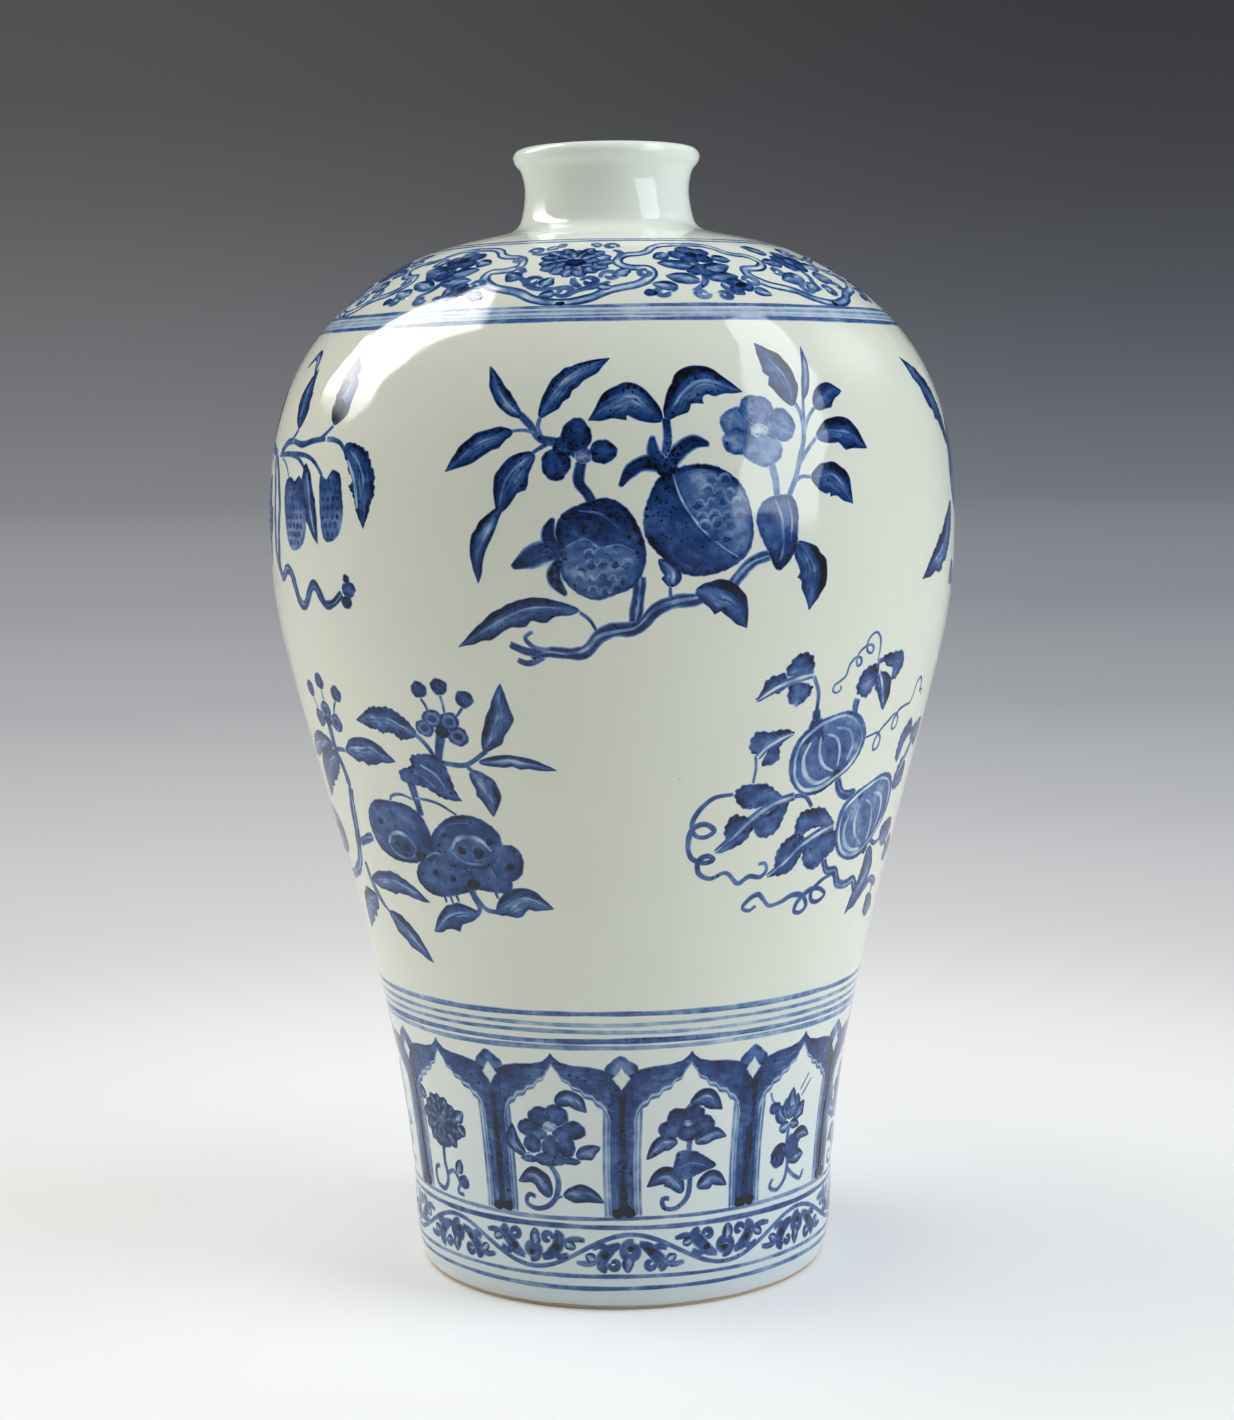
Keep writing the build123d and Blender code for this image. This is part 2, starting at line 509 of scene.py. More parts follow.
def makeWallSection(nodeName):
    runs = hoopRuns(nodeName, stretchOf(inner, *heights(nodeName))[::-1])
    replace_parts(turned(nodeName + "_wall", runs, whiteGlaze), nodeName)


def makeNeck():
    low, high = heights("neck")
    outside = stretchOf(outer, low, lipHeight)
    inside = stretchOf(inner, low, lipHeight)[::-1]
    turn = np.linspace(0, math.pi, turning["lipRows"])
    middle = (outside[-1, 0] + inside[0, 0]) / 2
    half = (outside[-1, 0] - inside[0, 0]) / 2
    roll = np.stack([middle + half * np.cos(turn), lipHeight + (high - lipHeight) * np.sin(turn),
                     np.cos(turn), np.sin(turn)], 1)
    outside[-1, 2:] = 1, 0
    inside[0, 2:] = -1, 0
    runs = [underside(outside, inside), outside, roll, inside]
    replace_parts(turned("neck_and_lip", runs, whiteGlaze), "neck")


def makeDish():
    low, high = heights("base_dish")
    outside = stretchOf(outer, low, high)
    inside = stretchOf(inner, floorHeight, high)[::-1]
    runs = [flatRun(0, outside[0, 0], low, -1), outside, topEdge(outside, inside), inside,
            flatRun(inside[-1, 0], 0, inside[-1, 1], 1)]
    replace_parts(turned("base_dish_wall", runs, whiteGlaze, closed=False), "base_dish")


def makeFoot():
    low, high = heights("foot_ring")
    inside = smoothWall(wallPoints(["foot_ring"], -1))[::turning["footRow"]][::-1]
    inside[:, 2:] *= -1
    inside[0, 1], inside[-1, 1] = high, low
    runs = hoopRuns("foot_ring", inside)
    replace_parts(turned("foot_ring_turned", runs, footGlaze), "foot_ring")


def makeLute(nodeName):
    # slip is flush outside and stands inside as a rounded bead
    low, high = heights(nodeName)
    reach = wallPoints([nodeName], -1)[:, 0].mean()
    turn = np.linspace(math.pi / 2, -math.pi / 2, turning["beadRows"])
    bulge = (high - low) / 2
    bead = np.stack([reach + bulge - bulge * np.cos(turn), (low + high) / 2 + bulge * np.sin(turn),
                     -np.cos(turn), np.sin(turn)], 1)
    runs = hoopRuns(nodeName, bead)
    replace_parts(turned(nodeName + "_bead", runs, whiteGlaze), nodeName)


makeFoot()
makeDish()
for section in ("lower_belly", "upper_belly", "shoulder"):
    makeWallSection(section)
makeNeck()
for lute in ("foot_lute", "dish_lute", "belly_lute", "shoulder_lute", "neck_lute"):
    makeLute(lute)
print("turned sections done")


# Brushwork: every stroke is a thin patch of colour that lies on the wall.
# Places are in mm: across from the middle of the motif, and up along the wall from the foot.
brushLook = {
    "lift": 0.04,  # mm above the clay
    "coat": 0.03,  # mm more for each coat on another
    "sink": 0.015,  # mm that the edge of a patch goes under the surface
    "next": 0.0003,  # mm more for each later stroke
    "soft": 0.42,  # mm that the colour bleeds at an edge
    "fine": 2.2,  # mm, strokes thinner than this bleed less
    "step": 0.9,  # mm between the points of a stroke
    "fineStep": 0.35,  # and of the thinnest ones
    "shake": 0.1,  # unevenness of the width of a stroke
    "shakeLength": 2.2,  # mm from one change to the next, as for the lengths below
    "sway": 0.32,  # mm that a hand wanders
    "swayLength": 4.5,
    "dry": 0.45,  # unevenness of the pale core of a stroke
    "dryLength": 3,
    "thin": 0.1,  # unevenness of the wash
    "thinLength": 5,
    "gap": 0.7,  # mm between patches on the bake sheet
    "shift": 17.3,  # mm that keeps the streaks of one stroke apart from the next one's
}
# how hard the brush is pressed from the start of a stroke to its end
presses = {
    "plain": (0.5, 1, 1, 0.35),
    "branch": (0.75, 1, 0.95, 1.05, 1, 0.7),
    "bark": (0, 1, 0.3, 1.2, 0.2, 1.1, 0.5, 0),
    "stem": (0.95, 1, 0.85, 0.75),
    "tendril": (0.5, 1, 0.7, 1.15, 0.75, 1.1, 0.7, 1, 0.5),
    "ring": (0.7, 1.2, 0.6, 1, 1.3, 0.7),
    "rib": (0.8, 1, 1, 0.8, 0.3),
    "sepal": (0.75, 1.1, 0.85, 0.1),
    "pale": (0.3, 1, 1, 0.3),
    "curl": (0.35, 0.9, 1.15, 1.1, 0.9),
    "twig": (0.3, 1, 1, 0.5),
    "ribbon": (1, 0.95, 1.08, 1, 1.06, 0.95, 1),
    "pillar": (1.3, 0.5, 1, 0.6, 1.4),
    "scrollLeaf": (0.3, 1, 1.1, 0.5),
    "scrollCurl": (0.5, 1.1, 1.2, 0.9),
    "wave": (1, 1, 1),
}


def newCanvas(angle, radius, hand=1):
    # hand -1 paints the mirrored drawing
    return {"angle": math.radians(angle), "radius": radius, "hand": hand, "patches": [], "count": 0}


def turnTo(canvas, angle):
    canvas["angle"] = math.radians(angle)


def addPatch(canvas, x, s, wash, along, across, flat, faces, coat):
    x = canvas["hand"] * x
    triangles = np.array([face[:3] for face in faces])
    a, b, c = (np.stack([x, s], 1)[triangles[:, k]] for k in range(3))
    turn = ((b - a)[:, 0] * (c - a)[:, 1] - (b - a)[:, 1] * (c - a)[:, 0]).sum()
    if turn < 0:
        faces = [face[::-1] for face in faces]
    order = len(canvas["patches"])
    lift = brushLook["lift"] + brushLook["coat"] * coat + brushLook["next"] * order
    lift = np.where(wash <= 0, -brushLook["sink"], lift)
    angle = canvas["angle"] + x / canvas["radius"]
    radius, height, leanOut, leanUp = (np.interp(s, wayUp, column) for column in outer.T)
    corner = flat.min(0)
    canvas["patches"].append({
        "points": onWheel(radius + lift * leanOut, height + lift * leanUp, angle) * mm,
        "normals": onWheel(leanOut, leanUp, angle),
        "wash": np.maximum(wash, 0),
        "brush": np.stack([along, across + brushLook["shift"] * order], 1),
        "flat": flat - corner,
        "size": flat.max(0) - corner,
        "faces": [[index + canvas["count"] for index in face] for face in faces],
    })
    canvas["count"] += len(x)


def gridFaces(rows, columns, wrap=False):
    index = np.arange(rows * columns).reshape(rows, columns)
    if wrap:
        index = np.c_[index, index[:, 0]]
    squares = np.stack([index[:-1, :-1], index[:-1, 1:], index[1:, 1:], index[1:, :-1]], -1)
    return squares.reshape(-1, 4).tolist()


def smoothPath(points, step=None, closed=False):
    # curve through given points, evenly enough spaced
    step = step or brushLook["step"]
    points = np.array(points, float).reshape(-1, 2)
    if closed:
        points = np.vstack([points[-1], points, points[0], points[1]])
    else:
        points = np.vstack([2 * points[0] - points[1], points, 2 * points[-1] - points[-2]])
    made = []
    for k in range(len(points) - 3):
        p = points[k:k + 4]
        t = np.r_[0, np.cumsum(np.sqrt(np.maximum(np.hypot(*np.diff(p, axis=0).T), 1e-6)))]
        count = max(2, int(np.hypot(*(p[2] - p[1])) / step) + 1)
        at = np.linspace(t[1], t[2], count, endpoint=False)[:, None]
        a = [((t[i + 1] - at) * p[i] + (at - t[i]) * p[i + 1]) / (t[i + 1] - t[i]) for i in range(3)]
        b = [((t[i + 2] - at) * a[i] + (at - t[i]) * a[i + 1]) / (t[i + 2] - t[i]) for i in range(2)]
        made.append(((t[2] - at) * b[0] + (at - t[1]) * b[1]) / (t[2] - t[1]))
    path = np.vstack(made)
    return path if closed else np.vstack([path, points[-2]])


def lengthOf(path):
    return np.hypot(*np.diff(path, axis=0).T).sum()


def sideways(path):
    along = np.gradient(path, axis=0)
    along /= np.maximum(np.linalg.norm(along, axis=1), 1e-9)[:, None]
    return np.stack([-along[:, 1], along[:, 0]], 1)


def waver(count, knots, swing=1.0):
    # smooth uneven run of numbers
    turns = rng.uniform(-1, 1, knots)
    return swing * np.interp(np.linspace(0, 1, count), np.linspace(0, 1, knots), turns)


def rise(value, low, high):
    share = np.clip((value - low) / (high - low), 0, 1)
    return share * share * (3 - 2 * share)


def ribbon(canvas, path, offsets, wash, coat=0):
    # path (n, 2), and for every point of it the offsets to its side in mm and their wash (n, m)
    spots = path[:, None] + sideways(path)[:, None] * offsets[..., None]
    along = np.repeat(lengthAlong(path)[:, None], offsets.shape[1], 1).ravel()
    widest = np.ptp(offsets, axis=1).argmax()
    flatAcross = np.repeat(offsets[[widest]], len(path), 0).ravel()
    addPatch(canvas, spots[..., 0].ravel(), spots[..., 1].ravel(), wash.ravel(), along, offsets.ravel(),
             np.stack([along, flatAcross], 1), gridFaces(*wash.shape), coat)


def softLine(wash):
    # places across a stroke, from edge to edge, and the wash there
    return ((-1, 0), (-0.56, 1.02 * wash), (0, 0.96 * wash), (0.56, 1.02 * wash), (1, 0))


def doubleLine(wash):
    # dark edges with a paler core
    left = [(-1, 0), (-0.8, wash + 0.08), (-0.52, wash), (-0.36, 0.5 * wash), (-0.2, 0.14 * wash)]
    right = [(0.22, 0.14 * wash), (0.38, 0.5 * wash), (0.54, wash), (0.8, wash + 0.08), (1, 0)]
    return left + right


# a rib is open in the middle
ribLine = [(-1, 0), (-0.72, 0.66), (-0.4, 0.56), (-0.2, 0.12), (0.2, 0.12), (0.4, 0.56), (0.72, 0.66),
           (1, 0)]


def overLine(wash, under):
    # a line on colour that is there already
    return ((-1, under), (-0.5, wash), (0.5, wash), (1, under))


def stroke(canvas, points, width, wash=0.7, section=None, press=presses["plain"], coat=0, loose=True,
           shake=1):
    # a loose stroke wanders and ends in points
    path = smoothPath(points, min(brushLook["step"], max(brushLook["fineStep"], width * 0.7)))
    count = len(path)
    length = lengthOf(path)
    section = np.array(section or softLine(wash))

    def uneven(kind, swing, least=4):
        return waver(count, max(least, int(length / brushLook[kind + "Length"])), swing)

    t = np.linspace(0, 1, count)
    half = width / 2 * np.interp(t, np.linspace(0, 1, len(press)), press)
    half *= 1 + uneven("shake", brushLook["shake"] * shake)
    if loose:
        sway = uneven("sway", brushLook["sway"] * shake * min(1.6, width / 2), 3)
        path = path + sideways(path) * (sway * np.sin(t * math.pi) ** 0.5)[:, None]
    top = section[:, 1].max()
    keep = np.clip(0.8 + uneven("dry", brushLook["dry"]), 0, 1.1)  # how far pale parts stay open
    inside = (section[:, 1] > 0)[None]
    tint = np.where(inside, top - (top - section[None, :, 1]) * keep[:, None], section[None, :, 1])
    tint = tint * np.where(inside, 1 + uneven("thin", brushLook["thin"])[:, None], 1)
    if loose:
        tint[0] = tint[-1] = max(section[0, 1], 0)
    bleed = brushLook["soft"] * min(1, width / brushLook["fine"])
    ribbon(canvas, path, (half + bleed)[:, None] * section[:, 0], tint, coat)


def curl(centre, radius, start, turns, hand=1, inner=0.18):
    # points of a closing spiral; start in degrees, hand 1 is anticlockwise
    t = np.linspace(0, 1, max(6, int(abs(turns) * 9)))
    angle = math.radians(start) + hand * turns * 2 * math.pi * t
    reach = radius * (1 - (1 - inner) * t ** 0.9)
    return np.stack([centre[0] + reach * np.cos(angle), centre[1] + reach * np.sin(angle)], 1).tolist()


leafLook = {
    "columns": 21,
    "step": 0.65,  # mm between points
    "tooth": 1.9,  # mm from one notch to the next
    "upper": 0.27,  # more wash along the upper edge
    "lower": 0.16,
    "vein": 0.44,  # less wash along the veins
    "rough": 0.16,  # unevenness of the edges
    # middle of a vein, its strength, and where it starts, is full, thins and ends along the leaf
    "veins": [(-0.24, 1.0, (0.06, 0.2, 0.7, 0.95)), (-0.54, 0.85, (0.14, 0.3, 0.55, 0.84)),
              (-0.84, 0.55, (0.2, 0.35, 0.45, 0.7))],
}


def leaf(canvas, place, wash=0.66, notch=0.0, coat=0):
    # base, perhaps a middle point, tip, and width; the upper part is dark and pale veins run under it
    points = np.array(place[:-1], float).reshape(-1, 2)
    width = place[-1]
    path = smoothPath(points, leafLook["step"])
    count = len(path)
    length = lengthOf(path)
    t = np.linspace(0, 1, count)
    shape = np.maximum(t, 1e-4) ** 0.8 * np.maximum(1 - t, 0) * (1 - 0.5 * t ** 8)
    half = (width / 2 - 0.16) * shape / shape.max() * (1 + waver(count, 5, 0.05))
    teeth = 1 - notch * ((t * length / leafLook["tooth"] + rng.uniform()) % 1)
    upper = half * (1 + waver(count, max(5, int(length / 1.6)), leafLook["rough"] * 0.7)) * teeth
    lower = half * (1 + waver(count, max(5, int(length / 2.2)), leafLook["rough"] * 1.8)) * teeth
    side = sideways(path)
    up = 1.0 if side[count // 2, 1] >= 0 else -1.0
    u = np.linspace(-1, 1, leafLook["columns"]) * up
    v = np.abs(u) * np.sign(np.linspace(-1, 1, leafLook["columns"]))
    reach = np.where(u[None] > 0, upper[:, None], lower[:, None])
    soft = brushLook["soft"] * np.interp(t, [0, 0.05, 0.9, 1], [0.5, 1, 1, 0.3])[:, None]
    offsets = np.hstack([-reach[:, :1] - soft, v * reach, reach[:, -1:] + soft])
    edge = 0.38 + waver(count, 6, 0.16)[:, None]  # where the dark upper part begins
    dark = rise(u, edge, edge + 0.4) * leafLook["upper"] * (0.85 + waver(count, 8, 0.45)[:, None])
    dark = dark * np.interp(t, [0, 0.15, 0.85, 1], [0.6, 1, 1, 0.7])[:, None]
    tint = wash + dark + rise(-u, 0.5, 0.92) * leafLook["lower"]
    for middle, strength, run in leafLook["veins"]:
        pale = np.interp(t, run, [0, 1, 0.85, 0]) * np.clip(0.75 + waver(count, 7, 0.6), 0, 1.15)
        centre = edge + middle + waver(count, 5, 0.07)[:, None]
        wide = np.clip(0.34 / np.maximum(half, 0.3), 0.07, 0.4)[:, None]
        tint = tint - leafLook["vein"] * strength * pale[:, None] * np.exp(-((u - centre) / wide) ** 2)
    tint = np.clip(tint, 0.16, 1.15)
    tint = np.hstack([np.zeros((count, 1)), tint, np.zeros((count, 1))])
    tint[0] = tint[-1] = 0
    ribbon(canvas, path, offsets, tint, coat)


fillLook = {
    "step": 0.8,  # mm between points of the edge
    "scallop": 4.6,  # mm from one scallop to the next
    "ragged": 0.07,  # mm of unevenness along the edge
    "raggedLengths": (3.1, 1.9),  # mm
    # rings from the edge in: mm from it, the largest share of the way, shares of the rim and the patches
    "rings": [(-0.3, 0, 0, 0), (0.26, 0.2, 1, 0.4), (0.7, 0.4, 0.8, 1), (1.7, 0.62, 0.12, 1)],
    "within": (0.72, 0.46, 0.22),  # more rings, as shares of the last one
    "paler": 0.03,  # less wash in the middle
    "lay": 0.6,  # radians that the brush leans
    "broad": (0.5, 0.36),  # its marks are broader here, along and across
}


def fill(canvas, points, wash=0.68, rim=0.16, shade=(0, 0), centre=None, coat=0, edge=0.0, wobble=0.02,
         scallop=0.0):
    # colour laid inside an outline that can be seen whole from its centre; shade leans it to a side
    path = smoothPath(points, fillLook["step"], closed=True)
    count = len(path)
    middle = np.array(centre if centre is not None else path.mean(0))
    spoke = path - middle
    reach = np.maximum(np.hypot(*spoke.T), 0.3)
    turn = np.arange(count) * 2 * math.pi / count
    around = lengthOf(path)

    def swings(*waves):
        return sum(strength * np.sin(times * turn + rng.uniform(0, 6)) for strength, times in waves)

    swing = wobble * swings((1, 3), (0.7, 5))
    ragged = swings(*((1, round(around / length)) for length in fillLook["raggedLengths"]))
    scallops = np.abs(np.sin(turn * max(3, round(around / fillLook["scallop"])))) - 0.6
    spoke = spoke * (1 + swing + (scallop * scallops + fillLook["ragged"] * ragged) / reach)[:, None]
    heavy = 0.8 + swings((0.5, 2), (0.5, 5))
    patchy = swings((0.035, 1), (0.03, 3))
    rows, tints = [], []
    for inset, most, rimShare, share in fillLook["rings"]:
        rows.append(1 - np.minimum(inset / reach, most))
        inside = wash + rim * rimShare * heavy + patchy * share
        tints.append(inside if share else np.full(count, edge))
    pale = wash - fillLook["paler"]
    last = rows[-1]
    for share in fillLook["within"]:
        rows.append(last * share)
        tints.append(pale + patchy * share)
    spots = middle + spoke[None] * np.array(rows)[..., None]
    tint = np.array(tints)
    size = max(np.ptp(path[:, 0]), np.ptp(path[:, 1]))
    lean = ((spots - middle) * np.array(shade)).sum(-1) / size * 2
    tint[1:] = np.maximum(tint[1:] + lean[1:], 0.05)
    x = np.r_[spots[..., 0].ravel(), middle[0]]
    s = np.r_[spots[..., 1].ravel(), middle[1]]
    faces = gridFaces(*tint.shape, wrap=True)
    first = (len(rows) - 1) * count
    faces += [[first + k, first + (k + 1) % count, len(x) - 1] for k in range(count)]
    lay = rng.uniform(-fillLook["lay"], fillLook["lay"])
    along = fillLook["broad"][0] * (math.cos(lay) * x + math.sin(lay) * s)
    across = fillLook["broad"][1] * (math.cos(lay) * s - math.sin(lay) * x)
    addPatch(canvas, x, s, np.r_[tint.ravel(), pale], along, across, np.stack([x, s], 1), faces, coat)


def dab(canvas, centre, across, tall=None, wash=0.7, coat=0, edge=0.0, rim=0.16):
    tall = tall or across
    turn = np.linspace(0, 2 * math.pi, 9)[:-1] + rng.uniform(0, 1)
    points = np.stack([centre[0] + across * np.cos(turn), centre[1] + tall * np.sin(turn)], 1)
    fill(canvas, points, wash, coat=coat, edge=edge, rim=rim, wobble=0.035, centre=centre)


def band(canvas, x, low, high, section, coat=0):
    # colour between a lower and an upper edge; section runs from the lower (0) to the upper (1)
    section = np.array(section)
    share = section[:, 0]
    xs = np.repeat(x[:, None], len(share), 1)
    ss = low[:, None] + (high - low)[:, None] * share
    tint = np.repeat(section[None, :, 1], len(x), 0)
    addPatch(canvas, xs.ravel(), ss.ravel(), tint.ravel(), xs.ravel(), ss.ravel(),
             np.stack([xs.ravel(), ss.ravel()], 1), gridFaces(*tint.shape), coat)


def bakeSheet(patches):
    # places the flat shape of every patch on one square sheet, shelf by shelf
    gap = brushLook["gap"]
    order = sorted(range(len(patches)), key=lambda k: -patches[k]["size"][1])
    area = sum((patch["size"] + gap).prod() for patch in patches)
    wide = max(math.sqrt(area) * 1.04, max(patch["size"][0] for patch in patches) + gap)
    places = [None] * len(patches)
    x = y = shelf = 0.0
    for k in order:
        size = patches[k]["size"] + gap
        if x + size[0] > wide + 1e-6:
            x = 0.0
            y += shelf
            shelf = 0.0
        places[k] = patches[k]["flat"] + np.array([x, y]) + gap / 2
        x += size[0]
        shelf = max(shelf, size[1])
    return np.vstack(places) / max(wide, y + shelf)


def hangCanvas(canvas, name):
    patches = canvas["patches"]
    mesh = bpy.data.meshes.new(name)
    points = np.vstack([patch["points"] for patch in patches])
    faces = [face for patch in patches for face in patch["faces"]]
    mesh.from_pydata(points.tolist(), [], faces)
    mesh.polygons.foreach_set("use_smooth", [True] * len(faces))
    wash = mesh.attributes.new("wash", "FLOAT", "POINT")
    washes = np.concatenate([patch["wash"] for patch in patches])
    wash.data.foreach_set("value", washes.astype(np.float32))
    corners = np.empty(len(mesh.loops), int)
    mesh.loops.foreach_get("vertex_index", corners)
    layers = {"OFBake": bakeSheet(patches), "brush": np.vstack([patch["brush"] for patch in patches])}
    for layer, places in layers.items():
        mesh.uv_layers.new(name=layer).data.foreach_set("uv", places[corners].astype(np.float32).ravel())
    normals = np.vstack([patch["normals"] for patch in patches])
    mesh.normals_split_custom_set_from_vertices(normals.tolist())
    addPiece(name, mesh, cobaltGlaze)
    print(name, len(patches), "strokes", len(faces), "faces")


# Lines round the vase
ringLines = {
    "parts": 6,  # patches in a line
    "step": 1.6,  # mm between points
    "dark": 0.2,  # lines with more wash than this lie over the paler ones
    # place along the wall, width and wash
    "lines": [
        (7.7, 1.3, 0.46), (11.2, 1.1, 0.44), (26.2, 1.5, 0.54), (28.9, 1.1, 0.4),
        (87.1, 11, 0.05), (81.9, 1.5, 0.32), (84.0, 1.8, 0.48), (86.7, 1.3, 0.32), (89.2, 1.3, 0.3),
        (92.3, 1.6, 0.44), (296.8, 5.0, 0.14), (294.4, 1.5, 0.52), (295.9, 0.9, 0.26), (297.4, 0.9, 0.28),
        (299.4, 1.2, 0.44), (335.3, 1.2, 0.5), (337.5, 1.0, 0.5),
    ],
}


def paintLines():
    parts = ringLines["parts"]
    canvas = newCanvas(0, 1)
    for place, width, wash in ringLines["lines"]:
        canvas["radius"] = np.interp(place, wayUp, outer[:, 0])
        reach = 2 * math.pi * canvas["radius"]
        swing = rng.uniform(0, 6, 3)
        section = np.array(softLine(wash))
        for part in range(parts):
            x = np.linspace(part, part + 1, int(reach / parts / ringLines["step"])) * reach / parts
            turn = x / canvas["radius"]
            drift = 0.16 * np.sin(3 * turn + swing[0]) + 0.1 * np.sin(7 * turn + swing[1])
            press = 1 + 0.16 * np.sin(5 * turn + swing[2]) + 0.1 * np.sin(23 * turn + swing[0])
            half = width / 2 * press + brushLook["soft"] / 2
            tint = section[None, :, 1] * (1 + 0.16 * np.sin(4 * turn + swing[1]))[:, None]
            path = np.stack([x, place + drift], 1)
            ribbon(canvas, path, half[:, None] * section[:, 0], tint, int(wash > ringLines["dark"]))
    hangCanvas(canvas, "painted_lines")


paintLines()


# Rows of a spray, where points are pairs of across and up:
# branches, stems, tendrils and sepals hold width, wash and points; leaves hold points and width;
# lobes hold the points of their edge; fruits hold wash, its lean across and up, and points of the edge;
# panes hold wash, the wash round them, their centre and points; ribs hold width and points;
# pale lines hold width, wash, the wash under them and points;
# dabs and petals hold place, half sizes and wash.
def paintSpray(canvas, spray, swell=1):
    # branches and stems lie under the leaves, fruits and flowers, and pale lines come last
    def given(kind):
        return spray.get(kind, ())

    green = spray["leafWash"]
    for width, wash, *points in given("branches"):
        stroke(canvas, points, width, wash, press=presses["branch"], shake=1.7)
        stroke(canvas, points, width * 0.3, section=overLine(0.32, wash), press=presses["bark"], coat=0.4)
    for kind, press in (("stems", "stem"), ("tendrils", "tendril")):
        for width, wash, *points in given(kind):
            stroke(canvas, points, width, wash, press=presses[press])
    for points in given("lobes"):
        fill(canvas, points, green, rim=0.2, shade=(0, 0.14), coat=0.7, wobble=0.04, scallop=0.55)
    for kind, notch in (("leaves", 0), ("toothed", 0.16)):
        for place in given(kind):
            leaf(canvas, place, green, notch, coat=0.7)
    for wash, leanAcross, leanUp, *points in given("fruits"):
        fill(canvas, points, wash, shade=(leanAcross, leanUp), coat=1)
    for index, share, width, wash in given("rings"):
        edge = np.reshape(spray["fruits"][index][3:], (-1, 2))
        inside = edge.mean(0) + share * (edge - edge.mean(0))
        stroke(canvas, np.vstack([inside, inside[0]]), width, section=overLine(wash, 0.56), coat=2,
               press=presses["ring"], loose=False)
    for wash, under, x, s, *points in given("panes"):
        fill(canvas, points, wash, 0.1, centre=(x, s), coat=2, edge=under)
    for width, *points in given("ribs"):
        stroke(canvas, points, width, section=ribLine, press=presses["rib"], coat=2)
    for width, wash, *points in given("sepals"):
        stroke(canvas, points, width, wash, press=presses["sepal"], coat=1.5)
    for x, s, across, tall, wash in given("dabs"):
        dab(canvas, (x, s), across * swell, tall * swell, wash, coat=1)
    for x, s, across, tall, wash in given("petals"):
        dab(canvas, (x, s), across, tall, wash, coat=1)
        dab(canvas, (x, s), across * 0.74, tall * 0.74, 0.46, 2, wash, 0.0)
        dab(canvas, (x, s), across * 0.42, tall * 0.42, wash + 0.1, 3, 0.44, 0.0)
    for width, wash, under, *points in given("pale"):
        stroke(canvas, points, width, section=overLine(wash, under), press=presses["pale"], coat=2)
    for x, s, across in given("spots"):
        dab(canvas, (x, s), across, None, 1.0, 3, 0.66, 0.05)
    for patch in given("seeds"):
        seedRows(canvas, *patch)
    for patch in given("dashes"):
        dashRows(canvas, *patch)


def rowsInside(centre, reach, rows):
    # place and half width of each row across an ellipse, from the top
    for row in range(rows):
        s = centre[1] + reach[1] * (1 - 2 * (row + 0.5) / rows)
        yield s, reach[0] * math.sqrt(max(0.05, 1 - ((s - centre[1]) / reach[1]) ** 2))


def dashRows(canvas, centre, reach, rows, spacing, under):
    # short dark touches in rows inside an upright ellipse
    tall = reach[1] / rows * 0.62
    for s, wide in rowsInside(centre, reach, rows):
        count = max(1, round(2 * wide / spacing))
        for k in range(count):
            x = centre[0] + (k + 0.5 - count / 2) * spacing + rng.normal() * 0.12
            dab(canvas, (x, s + rng.normal() * 0.12), spacing * 0.34, tall, under + 0.22, 2, under, 0.04)


def seedRows(canvas, centre, reach, rows, spacing, under):
    # rows of pale scallops inside an ellipse, with dark touches under them
    for row, (s, wide) in enumerate(rowsInside(centre, reach, rows)):
        count = max(1, int(2 * wide / spacing))
        points = []
        for k in range(count):
            x = centre[0] + (k + 0.5 - count / 2 + 0.25 * (row % 2)) * spacing + rng.normal() * 0.25
            y = s + rng.normal() * 0.5
            half = spacing * (0.44 + 0.05 * rng.normal())
            points += [(x - half, y - 0.5), (x - half * 0.5, y + 0.7)]
            points += [(x + half * 0.5, y + 0.8), (x + half, y - 0.4)]
            spot = (x + rng.normal() * 0.3, y - 0.8)
            dab(canvas, spot, half * 0.8, 0.7, under + 0.1 + 0.06 * rng.normal(), 3, under, 0.02)
        press = np.clip(0.75 + rng.normal(size=4 * count) * 0.35, 0.15, 1.3)
        stroke(canvas, points, 0.9, section=overLine(0.38, under), press=[0.2, *press, 0.2], coat=3.6)


def bloom(canvas, centre, reach, petals, width, wash=0.72, start=90, inner=0.25, coat=1):
    # pointed petals round a centre
    for k in range(petals):
        angle = math.radians(start + 360 * (k / petals))
        way = np.array([math.cos(angle) * reach[0], math.sin(angle) * reach[1]]) * (1 + 0.06 * rng.normal())
        base = np.array(centre) + way * inner
        leaf(canvas, (*base, *(np.array(centre) + way), width), wash, coat=coat)


